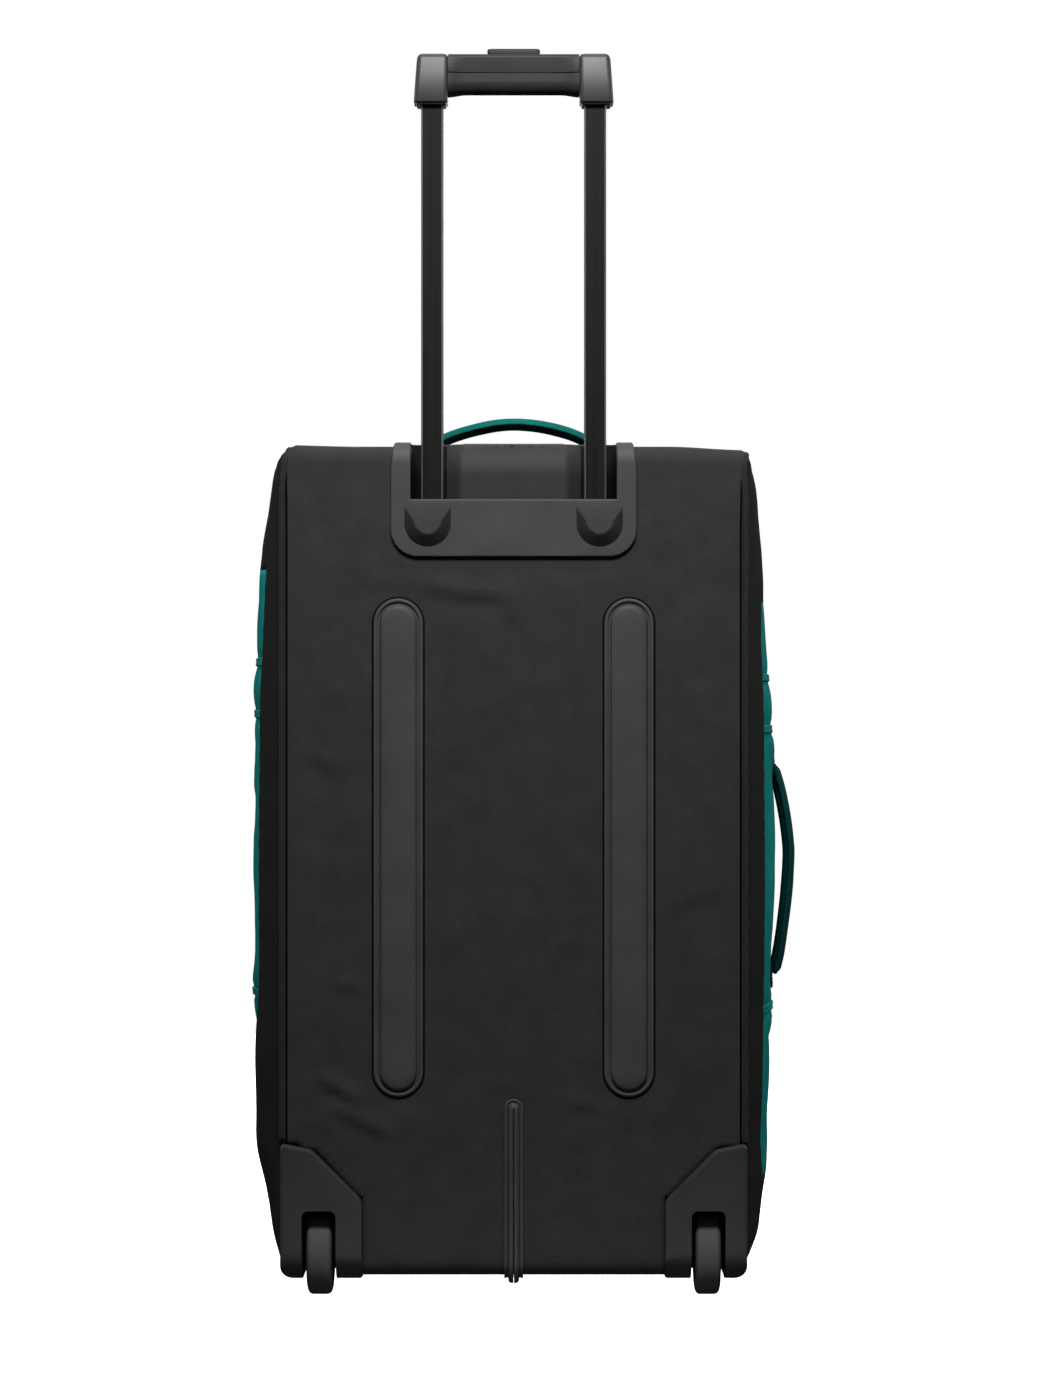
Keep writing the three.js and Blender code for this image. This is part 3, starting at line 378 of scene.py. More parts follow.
def drawn_metal(name, low, high, rough, metallic=1.0, level=0.5):
    """Metal with fine lines along its run and light smudges."""
    finish, tree, shader = new_finish(name)
    place = node(tree, "ShaderNodeTexCoord").outputs["Object"]
    stretched = node(tree, "ShaderNodeMapping", None, Vector=place, Scale=(1800, 1800, 6)).outputs["Vector"]
    lines = node(tree, "ShaderNodeTexNoise", None, Vector=stretched, Scale=1, Detail=3, Roughness=0.6)
    smudge = node(tree, "ShaderNodeTexNoise", None, Vector=place, Scale=18, Detail=4, Roughness=0.5)
    tree.links.new(between(tree, lines.outputs["Fac"], low, high, 0.3, 0.7), shader.inputs["Base Color"])
    tree.links.new(scaled(tree, smudge.outputs["Fac"], rough - 0.06, rough + 0.1), shader.inputs["Roughness"])
    shader.inputs["Metallic"].default_value = metallic
    shader.inputs["Specular IOR Level"].default_value = level
    bumps(tree, shader, (lines.outputs["Fac"], 0.08, 0.05))
    return finish


BLACK_PANEL = woven_cloth("black_woven_back", (0.0138, 0.0138, 0.0136), (0.0222, 0.022, 0.0216))
# The bag's sides, top and bottom wear a darker copy of the back panel's black cloth: painted shade.
BLACK_SIDE_SHADE = woven_cloth(
    "black_woven_side_painted_shade", (0.0095, 0.0095, 0.0094), (0.0155, 0.0154, 0.0152), sheen=0.0, level=0.03,
)
TEAL_CLOTH = woven_cloth(
    "teal_woven", (0.003, 0.15, 0.142), (0.007, 0.22, 0.208), pitch=0.9, sheen=0.0, level=0.02,
)
TEAL_TOP_STRAP = webbing_cloth("teal_strap_top", (0.0017, 0.056, 0.049), (0.0045, 0.12, 0.106), "X")
# The side handle's webbing is a darker copy of the top handle's: painted shade.
TEAL_SIDE_STRAP_SHADE = webbing_cloth("teal_strap_side_painted_shade", (0.001, 0.024, 0.022), (0.0025, 0.05, 0.046), "Z")
PIPING_CLOTH = woven_cloth("black_piping", (0.009, 0.009, 0.0089), (0.0145, 0.0144, 0.014), pitch=0.7)
ZIP_TAPE = woven_cloth("zip_tape", (0.006, 0.006, 0.006), (0.012, 0.012, 0.012), pitch=0.6)
TEAL_THREAD = moulded_plastic("teal_thread", (0.004, 0.085, 0.08), (0.008, 0.13, 0.12), 0.5, size=3000)
GREY_PLASTIC = moulded_plastic(
    "grey_moulded_plastic", (0.026, 0.026, 0.026), (0.042, 0.042, 0.0413), 0.6, level=0.18,
)
# Near-black plastic for the tray's outer wells: painted shade where the deep wells fall dark.
WELL_SHADE_PLASTIC = moulded_plastic(
    "painted_shade_well_plastic", (0.003, 0.003, 0.003), (0.006, 0.006, 0.006), 0.7, level=0.05,
)
# The recess wears a darker copy of the housing's grey plastic: painted shade inside the recess.
RECESS_SHADE_PLASTIC = moulded_plastic(
    "recess_painted_shade_plastic", (0.014, 0.014, 0.014), (0.023, 0.023, 0.0226), 0.65, level=0.12,
)
# Darker copies of the housing plastic for the wedge bumps: painted shade on the face that tilts to the light,
# and deeper painted shade on the flanks that face down.
BUMP_FACE_SHADE = moulded_plastic(
    "bump_face_painted_shade", (0.014, 0.014, 0.014), (0.023, 0.023, 0.0226), 0.65, level=0.1,
)
BUMP_FLANK_SHADE = moulded_plastic(
    "bump_flank_painted_shade", (0.0085, 0.0085, 0.0085), (0.014, 0.014, 0.0138), 0.7, level=0.06,
)
# Near-black cloth that stands for shadow: painted shadow in the back panel's seam strip and on the lip round
# the skids.
SEAM_SHADOW_PAINT = woven_cloth("painted_seam_shadow", (0.002, 0.002, 0.002), (0.004, 0.004, 0.004), sheen=0.0, level=0.0)
SHELL_PLASTIC = moulded_plastic(
    "wheel_housing_plastic", (0.0165, 0.0165, 0.0161), (0.027, 0.027, 0.0262), 0.55, level=0.17,
)
GRIP_PLASTIC = moulded_plastic(
    "grip_plastic", (0.0105, 0.0109, 0.0105), (0.0175, 0.018, 0.0174), 0.5, grain=0.12, level=0.1,
)
# The caps wear a lighter copy of the grip's black plastic: painted highlight.
CAP_HIGHLIGHT_PLASTIC = moulded_plastic(
    "cap_plastic_painted_highlight", (0.016, 0.0165, 0.0158), (0.026, 0.0266, 0.0255), 0.46, grain=0.12, level=0.26,
)
COIL_NYLON = moulded_plastic(
    "zip_coil_nylon", (0.006, 0.006, 0.006), (0.014, 0.014, 0.014), 0.4, size=2600,
)
TYRE_RUBBER = moulded_plastic(
    "wheel_rubber", (0.028, 0.028, 0.0268), (0.048, 0.048, 0.0457), 0.8, grain=0.4, size=900,
)
FOOT_RUBBER = moulded_plastic(
    "foot_rubber", (0.01, 0.01, 0.01), (0.02, 0.02, 0.02), 0.75, grain=0.4, size=900,
)
BLACK_TUBE = drawn_metal(
    "black_anodised_tube", (0.004, 0.004, 0.0042), (0.009, 0.009, 0.0093), 0.5, metallic=0.0, level=0.04,
)
# A brighter, half-metal copy of the tube finish for the chamfers: painted highlight.
TUBE_EDGE_HIGHLIGHT = drawn_metal("painted_highlight_tube_edge", (0.06, 0.06, 0.06), (0.125, 0.125, 0.122), 0.42, metallic=0.5)
DARK_STEEL = drawn_metal("blackened_steel", (0.02, 0.02, 0.02), (0.05, 0.05, 0.05), 0.45)
STEEL = drawn_metal("bare_steel", (0.28, 0.28, 0.28), (0.5, 0.5, 0.49), 0.32)


# Cloth body: one closed surface, cut into its pieces at the seams

GRID_STEP = 5
BAND_LINES = [
    z + offset for z in sorted(BAND_HEIGHTS.values())
    for offset in (-HALF_BAND, -BAND_FOLD, 0, BAND_FOLD, HALF_BAND)
]
HEIGHT_LINES = spread(
    [
        BAG_BOTTOM, BAG_BOTTOM + END_ROUND, ZIP_ENDS[0], BOTTOM_SEAM_Z, *BAND_LINES, TOP_SEAM_Z, ZIP_ENDS[1],
        TRAY_CUT_LOW, BAG_TOP - END_ROUND, BAG_TOP,
    ],
    GRID_STEP,
)
CROSS_LINES = spread(
    [-HALF_PANEL, -SEAM_LINE, -TRAY_CUT, -ZIP_HALF, 0, ZIP_HALF, TRAY_CUT, SEAM_LINE, HALF_PANEL], GRID_STEP,
)
LAST_X, LAST_Z = len(CROSS_LINES) - 1, len(HEIGHT_LINES) - 1
TILTS = [
    (BAG_BOTTOM, 0), (BOTTOM_SEAM_Z, 0), (BAND_HEIGHTS["lower"], BAND_TILT),
    (BAND_HEIGHTS["upper"], BAND_TILT), (TOP_SEAM_Z, TOP_SEAM_TILT), (BAG_TOP, 0),
]


def tilt_at(z):
    """How far the grid's line at a height rises for each millimetre to the left."""
    for (z0, t0), (z1, t1) in zip(TILTS, TILTS[1:]):
        if z <= z1:
            return t0 + (t1 - t0) * (z - z0) / (z1 - z0)
    return 0


LINE_TILTS = [tilt_at(z) for z in HEIGHT_LINES]


def ring_stations():
    """Depth, end pull and side pull of every ring from the back panel to the front."""
    rings = []
    end_steps, front_steps = 4, 14
    for n in range(end_steps + 1):
        turn = n / end_steps * math.pi / 2
        rings.append((END_ROUND * (1 - math.cos(turn)), END_ROUND * (1 - math.sin(turn)), 0.0))
    for y in spread([END_ROUND, TRAY_CUT_DEPTH, SEAM_DEPTH, BAG_DEPTH - FRONT_ROUND], GRID_STEP)[1:]:
        rings.append((y, 0.0, 0.0))
    for n in range(1, front_steps + 1):
        turn = n / front_steps * math.pi / 2
        pull = FRONT_ROUND * (1 - math.cos(turn))
        rings.append((BAG_DEPTH - FRONT_ROUND * (1 - math.sin(turn)), pull, pull))
    return rings


RINGS = ring_stations()
SEAM_RING = min(range(len(RINGS)), key=lambda n: abs(RINGS[n][0] - SEAM_DEPTH))
LAST_RING = len(RINGS) - 1


def half_width(z, y):
    swell = barrel((z - BAG_BOTTOM) / BAG_HEIGHT) * side_run(y / BAG_DEPTH)
    return HALF_PANEL + SIDE_BULGE * swell


def body_point(i, j, ring):
    """A corner of the body's mesh before it sags, and the move that rounds the bag's long corners."""
    y, end_pull, side_pull = RINGS[ring]
    z = HEIGHT_LINES[j]
    low, high = BAG_BOTTOM + end_pull, BAG_TOP - end_pull
    if z < BOTTOM_SEAM_Z:
        z = BOTTOM_SEAM_Z - (BOTTOM_SEAM_Z - z) * (BOTTOM_SEAM_Z - low) / (BOTTOM_SEAM_Z - BAG_BOTTOM)
    elif z > TOP_SEAM_Z:
        z = TOP_SEAM_Z + (z - TOP_SEAM_Z) * (high - TOP_SEAM_Z) / (BAG_TOP - TOP_SEAM_Z)
    wide = half_width(z, y) - side_pull
    line = CROSS_LINES[i]
    x = line
    if abs(line) > ZIP_HALF:
        share = (abs(line) - ZIP_HALF) / (HALF_PANEL - ZIP_HALF)
        x = math.copysign(ZIP_HALF + share * (wide - ZIP_HALF), line)
    z -= LINE_TILTS[j] * x
    square = Vector((x, y, z))
    corner = CORNER_ROUND * corner_run(y / BAG_DEPTH)
    middle = (low + high) / 2
    side_x, side_z = wide - corner, (high - low) / 2 - corner
    reach = Vector((abs(x) - side_x, abs(z - middle) - side_z))
    if min(reach) <= 0:
        return square, Vector((0, 0, 0))
    reach *= max(reach) / reach.length
    x = math.copysign(side_x + reach.x, x)
    z = middle + math.copysign(side_z + reach.y, z - middle)
    return square, Vector((x, y, z)) - square


def rounded_point(i, j, ring):
    return sum(body_point(i, j, ring), Vector((0, 0, 0)))


def front_face_point(i, j):
    """A corner of the crowned front face. The rounding of its rim fades out towards its middle."""
    middle = (BAG_BOTTOM + BAG_TOP) / 2
    side = 0 if CROSS_LINES[i] < 0 else LAST_X
    end = 0 if HEIGHT_LINES[j] < middle else LAST_Z
    across = abs(CROSS_LINES[i]) / HALF_PANEL
    up = abs(HEIGHT_LINES[j] - middle) / (BAG_HEIGHT / 2)
    by_side, by_end = ease((across - 0.5) / 0.5), ease((up - 0.6) / 0.4)
    rounding = (
        by_side * body_point(side, j, LAST_RING)[1] + by_end * body_point(i, end, LAST_RING)[1]
        - by_side * by_end * body_point(side, end, LAST_RING)[1]
    )
    crown = Vector((0, FRONT_CROWN * (1 - across**2.5) * (1 - up**4), 0))
    return body_point(i, j, LAST_RING)[0] + rounding + crown


def body_surface():
    """The whole outer surface of the stuffed bag, with the place of each corner kept in layers."""
    bm = bmesh.new()
    layers = {key: bm.verts.layers.int.new(key) for key in ("across", "up", "ring")}

    def face_grid(ring):
        made = bmesh.ops.create_grid(bm, x_segments=LAST_X, y_segments=LAST_Z, size=1)["verts"]
        for vert in made:
            vert[layers["across"]] = round((vert.co.x + 1) / 2 * LAST_X)
            vert[layers["up"]] = round((vert.co.y + 1) / 2 * LAST_Z)
            vert[layers["ring"]] = ring
        for vert in made:
            i, j = vert[layers["across"]], vert[layers["up"]]
            vert.co = front_face_point(i, j) if ring else rounded_point(i, j, 0)

    face_grid(0)
    edges = [e for e in bm.edges if e.is_boundary]
    for ring in range(1, LAST_RING + 1):
        pulled = bmesh.ops.extrude_edge_only(bm, edges=edges)["geom"]
        fresh = {g for g in pulled if isinstance(g, bmesh.types.BMVert)}
        for vert in fresh:
            vert[layers["ring"]] = ring
            vert.co = rounded_point(vert[layers["across"]], vert[layers["up"]], ring)
        edges = [g for g in pulled if isinstance(g, bmesh.types.BMEdge) and set(g.verts) <= fresh]
    face_grid(LAST_RING)
    close_shape(bm, 0.01)
    return bm


body = body_surface()


# How the cloth creases, puffs and sags

# Creases in the back panel: ends in (x, z), half width and height, in millimetres.
PANEL_CREASES = [
    (-76, 545, 1, 536, 6, 2.4),
    (-150, 170, -108, 148, 5, 3.4),
    (-143, 150, -88, 124, 5, 3.2),
    (-136, 242, -112, 236, 5, 1.8),
    (38, 150, 86, 146, 5, 1.9),
    (-20, 330, 30, 322, 9, 0.6),
    (118, 300, 168, 318, 7, 1.2),
    (-170, 420, -124, 404, 7, 1.2),
]

# Folds in the sides: the side they are on, ends in (y, z), half width and height.
SIDE_FOLDS = [
    (1, 110, 430, 150, 404, 9, 2.4),
    (1, 180, 404, 240, 440, 10, 2.2),
    (1, 100, 190, 160, 232, 10, 2.6),
    (1, 178, 232, 250, 178, 11, 2.4),
    (1, 88, 330, 92, 270, 10, 1.8),
    (1, 215, 360, 222, 290, 12, 2.0),
    (-1, 96, 250, 170, 190, 11, 2.6),
    (-1, 120, 400, 210, 372, 12, 2.2),
    (-1, 160, 330, 240, 280, 12, 2.4),
    (-1, 90, 150, 150, 120, 9, 2.0),
    (-1, 200, 150, 250, 200, 10, 2.0),
]

# Where a side stands further out or in: side, (y, z) of the middle, reach in y and z, and height.
SIDE_SWELLS = [
    (-1, 140, 535, 80, 55, 2.6),
    (-1, 120, 125, 60, 34, 2.6),
    (-1, 150, 268, 60, 40, -1.4),
    (1, 150, 490, 70, 40, -2.6),
    (1, 150, 405, 70, 35, -2.2),
    (1, 150, 240, 60, 40, -2.0),
    (1, 60, 38, 50, 20, 2.2),
]

# Hard pieces that hold the cloth flat: middle and half sizes in (x, z) on the back panel.
HELD_FLAT = [
    (0, 620, 96, 60),
    (-SKID_X, 344.5, 19, 190.5),
    (SKID_X, 344.5, 19, 190.5),
    (0, 80, 8, 74),
    (-146.5, 60, 32, 60),
    (146.5, 60, 32, 60),
]


SIDE_SEEDS = {1: 11.0, -1: 4.0}
TOP_SEED, BOTTOM_SEED, FRONT_SEED = 21.0, 31.0, 40.0


def hill(value, middle, reach, power=2):
    """1 at the middle, falling off smoothly on both sides of it."""
    return math.exp(-(((value - middle) / reach) ** power))


def looseness(x, z):
    """0 where a hard piece or a seam holds the back panel flat, 1 where it is free."""
    nearest = (HALF_PANEL - abs(x)) * 0.6
    for middle_x, middle_z, half_x, half_z in HELD_FLAT:
        across = max(abs(x - middle_x) - half_x, 0)
        up = max(abs(z - middle_z) - half_z, 0)
        nearest = min(nearest, math.hypot(across, up) - 2)
    return ease(nearest / 15)


def crease_height(u, v, u0, v0, u1, v1, width, height):
    """A ridge with a hollow beside it, along a line that fades at both ends."""
    run = math.hypot(u1 - u0, v1 - v0)
    along = ((u - u0) * (u1 - u0) + (v - v0) * (v1 - v0)) / run
    off = ((u - u0) * (v1 - v0) - (v - v0) * (u1 - u0)) / run
    if abs(off) > 4 * width or along < -width or along > run + width:
        return 0.0
    reach = 0.35 * run + width
    fade = ease((along + width) / reach) * ease((run + width - along) / reach)
    off += 0.12 * width * math.sin(along / 9)
    return height * fade * (hill(off, 0, width) - 0.55 * hill(off, 1.5 * width, width))


def cloud(x, y, z, size, seed):
    return noise.noise(Vector((x / size + seed, y / size - seed, z / size)))


def panel_relief(x, z):
    """The back panel, loose between the hard pieces."""
    rise = 0.9 + 1.5 * cloud(x, 0, z, 75, 3.1) + 0.7 * cloud(x, 0, z, 32, 7.7)
    rise += 0.45 * cloud(x, 0, z, 14, 1.3)
    for crease in PANEL_CREASES:
        rise += crease_height(x, z, *crease)
    return rise * looseness(x, z)


def puckers(along, distance, reach, height, seed):
    """Small gathers that a seam's thread pulls into the cloth beside it."""
    wave = math.sin(along / 2.7 + 2.2 * cloud(along, seed, 0, 21, seed))
    return height * wave * hill(distance, 0, reach)


def gusset_relief(sign, seed, y, z):
    """The black strip between the back panel and the seam of the teal sides."""
    rise = 1.5 * math.sin(math.pi * clamp(y / SEAM_DEPTH)) ** 0.8
    rise += 1.1 * cloud(seed, y, z, 46, seed) * ease(y / 20) * ease((SEAM_DEPTH - y) / 16)
    if sign > 0:
        hollow = 3.4 - 0.7 * ease((z - 400) / 60)
        rise -= hollow * ease((y - 30) / 40) * ease((z - 85) / 40) * ease((560 - z) / 60)
        rise += 3.2 * hill(z, 42, 26) * hill(y, 62, 50)
    else:
        rise += 7.0 * (hill(z, 168, 62) * hill(y, 46, 24))
        rise += 3.4 * hill(z, 110, 26) * hill(y, 50, 30)
    return rise + 1.3 * hill(z, 330, 240) * math.sin(math.pi * clamp(y / 110))


def teal_side_relief(sign, seed, x, y, z):
    """The teal sides: clouds, folds, the seam bands and a calm place behind the side handle."""
    deep = y - SEAM_DEPTH
    rise = 0.2 + 2.6 * cloud(seed, y, z, 92, seed) + 1.3 * cloud(seed, y, z, 40, 2 * seed)
    rise += 0.45 * cloud(seed, y, z, 17, 3 * seed)
    rise *= ease(deep / 40)
    if sign > 0:
        rise -= 3.4 * hill(deep, 0, 26) * ease((z - 85) / 40) * ease((560 - z) / 60)
    else:
        rise -= 3.2 * ease((186 - z) / 30) * hill(deep, 0, 120)
    rise -= 1.6 * hill(z, 190, 80) * ease(deep / 40)
    level = z + BAND_TILT * x
    for band in BAND_HEIGHTS.values():
        rise -= 1.8 * hill(level, band, 7)
        rise += puckers(y, abs(level - band), 9, 0.35, seed)
    rise += 0.9 * hill(level, 461, 12)
    for fold_side, *fold in SIDE_FOLDS:
        if fold_side == sign:
            rise += crease_height(y, z, *fold)
    for fold_side, swell_y, swell_z, reach_y, reach_z, height in SIDE_SWELLS:
        if fold_side == sign:
            rise += height * (hill(y, swell_y, reach_y) * hill(z, swell_z, reach_z))
    if sign > 0:
        rise *= 1 - 0.85 * (hill(y, HANDLE_Y, 26) * hill(z, 320, 92, 4))
    return rise


def side_relief(x, y, z):
    """A side of the bag, with the sunk seam between its black strip and its teal panel."""
    sign = 1 if x > 0 else -1
    seed = SIDE_SEEDS[sign]
    in_front = y >= SEAM_DEPTH
    rise = teal_side_relief(sign, seed, x, y, z) if in_front else gusset_relief(sign, seed, y, z)
    rise += puckers(z, abs(y - SEAM_DEPTH), 8, 0.4, seed)
    rise -= 1.7 * hill(y, SEAM_DEPTH, 3.4)
    return rise * ease((z - BAG_BOTTOM) / 35) * ease((BAG_TOP - z) / 35)


def end_relief(x, y, z):
    """The black top and bottom of the bag. The top is held by the housing's plate and the handle's tabs."""
    on_top = z > BAG_HEIGHT / 2
    seed = TOP_SEED if on_top else BOTTOM_SEED
    free = ease((y - 12) / 30) * ease((215 - abs(x)) / 40)
    rise = (0.3 + 1.9 * cloud(x, y, seed, 88, seed) + 0.8 * cloud(x, y, seed, 36, seed)) * free
    if on_top:
        rise *= 1 - hill(y, HANDLE_Y, 26, 4) * hill(abs(x), 93, 28, 4)
        beside_plate, behind_plate = ease((abs(x) - 92) / 16), ease((y - 47) / 16)
        rise *= max(beside_plate, behind_plate)
        rise -= 1.4 * hill(x, 0, 120) * ease((y - 50) / 40) * ease((260 - y) / 60)
    return rise


def front_relief(x, z):
    """The two teal panels of the front, held by the zip between them."""
    rise = 3.0 * cloud(x, FRONT_SEED, z, 105, 5.0) + 1.4 * cloud(x, FRONT_SEED, z, 44, 9.0)
    rise += 0.5 * cloud(x, FRONT_SEED, z, 18, 2.0)
    beside_zip = abs(x) - ZIP_HALF
    rise *= ease(beside_zip / 30)
    level = z + BAND_TILT * x
    for band in BAND_HEIGHTS.values():
        rise -= 1.5 * hill(level, band, 7) * ease(beside_zip / 12)
        rise += puckers(x, abs(level - band), 9, 0.3, 6.0) * ease(beside_zip / 12)
    if ZIP_ENDS[0] - 10 < z < ZIP_ENDS[1] + 10:
        rise += puckers(z, abs(beside_zip), 10, 0.45, 8.0)
        rise -= 1.1 * hill(beside_zip, 0, 2.5)
    return rise


def settle_corners(vert):
    """Lets the bag's upper corners sag, the right one more than the left, as on the real bag."""
    x, y, z = vert.co
    corner = ease((abs(x) - 118) / 60) * ease((z - 585) / 60)
    vert.co.z -= corner * (-1.2 if x < 0 else 2.8) * ease((330 - y) / 60)
    if x < 0:
        rounding = 4.5 * ease((z - 642) / 10) * ease((-x - 160) / 14) * ease((280 - y) / 60)
        vert.co.x += rounding - 0.4 * corner
    else:
        swell = 3.5 * ease((z - 634) / 17) * ease((x - 150) / 20) * ease((90 - y) / 60)
        vert.co.x += 1.0 * corner + swell


def crease_body():
    """Moves the body's corners along their normals, then settles its upper corners."""
    bmesh.ops.recalc_face_normals(body, faces=body.faces)
    body.normal_update()
    moves = {}
    for vert in body.verts:
        x, y, z = vert.co
        nx, ny, nz = (abs(c) for c in vert.normal)
        total = nx**4 + ny**4 + nz**4
        rise = 0.0
        if vert.normal.y < 0 and y < 14:
            rise += panel_relief(x, z) * ny**4
        elif ny > 0.02:
            rise += front_relief(x, z) * ny**4
        if nx > 0.02:
            rise += side_relief(x, y, z) * nx**4
        if nz > 0.02:
            rise += end_relief(x, y, z) * nz**4
        moves[vert] = vert.normal * (rise / total)
    for vert, move in moves.items():
        vert.co += move
        settle_corners(vert)


crease_body()
ACROSS, UP, RING = (body.verts.layers.int[key] for key in ("across", "up", "ring"))
CORNER_OF = {(v[ACROSS], v[UP], v[RING]): v.co.copy() for v in body.verts}


def line_index(lines, at):
    return min(range(len(lines)), key=lambda n: abs(lines[n] - at))


TOP_LINE = line_index(HEIGHT_LINES, TOP_SEAM_Z)
BOTTOM_LINE = line_index(HEIGHT_LINES, BOTTOM_SEAM_Z)
ZIP_LEFT, ZIP_RIGHT = (line_index(CROSS_LINES, side * ZIP_HALF) for side in (-1, 1))
ZIP_LOW, ZIP_HIGH = (line_index(HEIGHT_LINES, z) for z in ZIP_ENDS)
TRAY_LEFT, TRAY_RIGHT = (line_index(CROSS_LINES, side * TRAY_CUT) for side in (-1, 1))
TRAY_LINE = line_index(HEIGHT_LINES, TRAY_CUT_LOW)
TRAY_RING = line_index([ring[0] for ring in RINGS], TRAY_CUT_DEPTH)

# The opening in the cloth for a wheel housing: its outline in (x, z) on the right side, and its depth.
HOUSING_DEPTH = 69
HOUSING_OUTLINE = [(116, 12), (177, 12), (177, 118.5), (153.6, 113.5), (116, 76)]


def inside_outline(x, z, outline):
    inside = False
    for (x0, z0), (x1, z1) in zip(outline, outline[1:] + outline[:1]):
        if (z0 > z) != (z1 > z) and x < x0 + (x1 - x0) * (z - z0) / (z1 - z0):
            inside = not inside
    return inside


def extent(face, layer):
    """The first and last grid line, row or ring that a face of the body touches."""
    values = [vert[layer] for vert in face.verts]
    return min(values), max(values)


def cloth_of(face):
    """The name of the cloth piece that a face of the body belongs to, or None in an opening."""
    across, up, ring = (extent(face, layer) for layer in (ACROSS, UP, RING))
    if ring[1] <= SEAM_RING:
        at_plate = TRAY_LEFT <= across[0] and across[1] <= TRAY_RIGHT and up[0] >= TRAY_LINE
        if at_plate and ring[1] <= TRAY_RING:
            return None
        middle = face.calc_center_median()
        if middle.y < HOUSING_DEPTH and inside_outline(abs(middle.x), middle.z, HOUSING_OUTLINE):
            return None
        return "rear_shell"
    beside_middle = ZIP_LEFT <= across[0] and across[1] <= ZIP_RIGHT
    if ring[0] == LAST_RING and beside_middle and ZIP_LOW <= up[0] and up[1] <= ZIP_HIGH:
        return "main_zip"
    if up[0] >= TOP_LINE:
        return "top_end"
    if up[1] <= BOTTOM_LINE:
        return "bottom_end"
    return "left_panel" if across[1] <= ZIP_LEFT else "right_panel"


def cut_from_body(keep):
    """A copy of the body's surface that keeps only the faces that keep() accepts."""
    kept = [keep(face) for face in body.faces]
    bm = body.copy()
    drop = [face for face, stays in zip(bm.faces, kept) if not stays]
    bmesh.ops.delete(bm, geom=drop, context="FACES")
    return bm


def thicken(piece, thickness):
    """Gives a surface its wall, on the inside."""
    wall = piece.modifiers.new("thickness", "SOLIDIFY")
    wall.thickness = thickness * MM
    wall.offset = -1


def mark_rear_shell(shape):
    """Sets apart the back panel, the strips beside it and the shadow in the seam between them."""
    across_layer, up_layer, ring_layer = (shape.verts.layers.int[key] for key in ("across", "up", "ring"))
    for face in shape.faces:
        across, up, ring = (extent(face, layer) for layer in (across_layer, up_layer, ring_layer))
        # The strips beside the back panel get the darker copy of its black cloth (painted shade). Faces over
        # the top and bottom edge keep the panel's black.
        over_edge = up[0] == LAST_Z or up[1] == 0
        face.material_index = 0 if ring[1] <= 1 or over_edge else 1
        # The strip beside each seam gets the near-black cloth of the painted seam shadow.
        if ring[1] == 0 and (across[0] == LAST_X - 1 or across[1] == 1) and up[1] < LAST_Z - 2:
            face.material_index = 2


ZIP_THICKNESS = 1.2
CLOTH_LOOKS = {
    "rear_shell": ([BLACK_PANEL, BLACK_SIDE_SHADE, SEAM_SHADOW_PAINT], "black_cloth"),
    "top_end": (BLACK_SIDE_SHADE, "black_cloth"),
    "bottom_end": (BLACK_SIDE_SHADE, "black_cloth"),
    "left_panel": (TEAL_CLOTH, "teal_cloth"),
    "right_panel": (TEAL_CLOTH, "teal_cloth"),
    "main_zip": (ZIP_TAPE, "zip_tape"),
}

for cloth_name, (looks, slot) in CLOTH_LOOKS.items():
    shape = cut_from_body(lambda face: cloth_of(face) == cloth_name)
    if cloth_name == "rear_shell":
        mark_rear_shell(shape)
    piece = finish_piece(
        "cloth_" + cloth_name, shape, looks, stands_for=cloth_name, sharp=75, flat_faces=False,
    )
    thicken(piece, CLOTH if cloth_name != "main_zip" else ZIP_THICKNESS)


# Seam bands

BAND_EDGE_LIFT, BAND_LIFT, BAND_THICKNESS = 0.5, 1.7, 1.0
BAND_ROWS = {
    name: (line_index(HEIGHT_LINES, z - HALF_BAND), line_index(HEIGHT_LINES, z + HALF_BAND))
    for name, z in BAND_HEIGHTS.items()
}

for band_name, (low_row, high_row) in BAND_ROWS.items():
    for side_name, side in SIDES:
        def on_band(face):
            across, up, ring = (extent(face, layer) for layer in (ACROSS, UP, RING))
            beside = across[1] <= ZIP_LEFT if side < 0 else across[0] >= ZIP_RIGHT
            return ring[1] > SEAM_RING and low_row <= up[0] and up[1] <= high_row and beside

        shape = cut_from_body(on_band)
        up_layer = shape.verts.layers.int["up"]
        shape.normal_update()
        for vert in shape.verts:
            at_edge = vert[up_layer] in (low_row, high_row)
            vert.co += vert.normal * (BAND_EDGE_LIFT if at_edge else BAND_LIFT)
        node_name = f"{band_name}_seam_band_{side_name}"
        piece = finish_piece(
            node_name + "_strip", shape, TEAL_CLOTH, stands_for=node_name,
            flat_faces=False,
        )
        thicken(piece, BAND_THICKNESS)


# Tubes along a path: piping, coil and stitches

def circle_loop(middle, aim, out, radius, sides):
    """Points round a path, where out is the direction of the first point."""
    out = (out - aim * out.dot(aim)).normalized()
    over = aim.cross(out)
    return [
        middle + radius * (math.cos(turn) * out + math.sin(turn) * over)
        for turn in (2 * math.pi * n / sides for n in range(sides))
    ]


def tube_along(bm, path, radius, out, sides=12):
    """A tube round a path. radius is a number, or a function of the place in the path."""
    loops = []
    for n, point in enumerate(path):
        aim = (path[min(n + 1, len(path) - 1)] - path[max(n - 1, 0)]).normalized()
        size = radius(n) if callable(radius) else radius
        loops.append(circle_loop(point, aim, out, size, sides))
    return loft(bm, loops)


def smooth_path(points, rounds):
    for _ in range(rounds):
        points = [points[0]] + [
            (a + 2 * b + c) / 4 for a, b, c in zip(points, points[1:], points[2:])
        ] + [points[-1]]
    return points


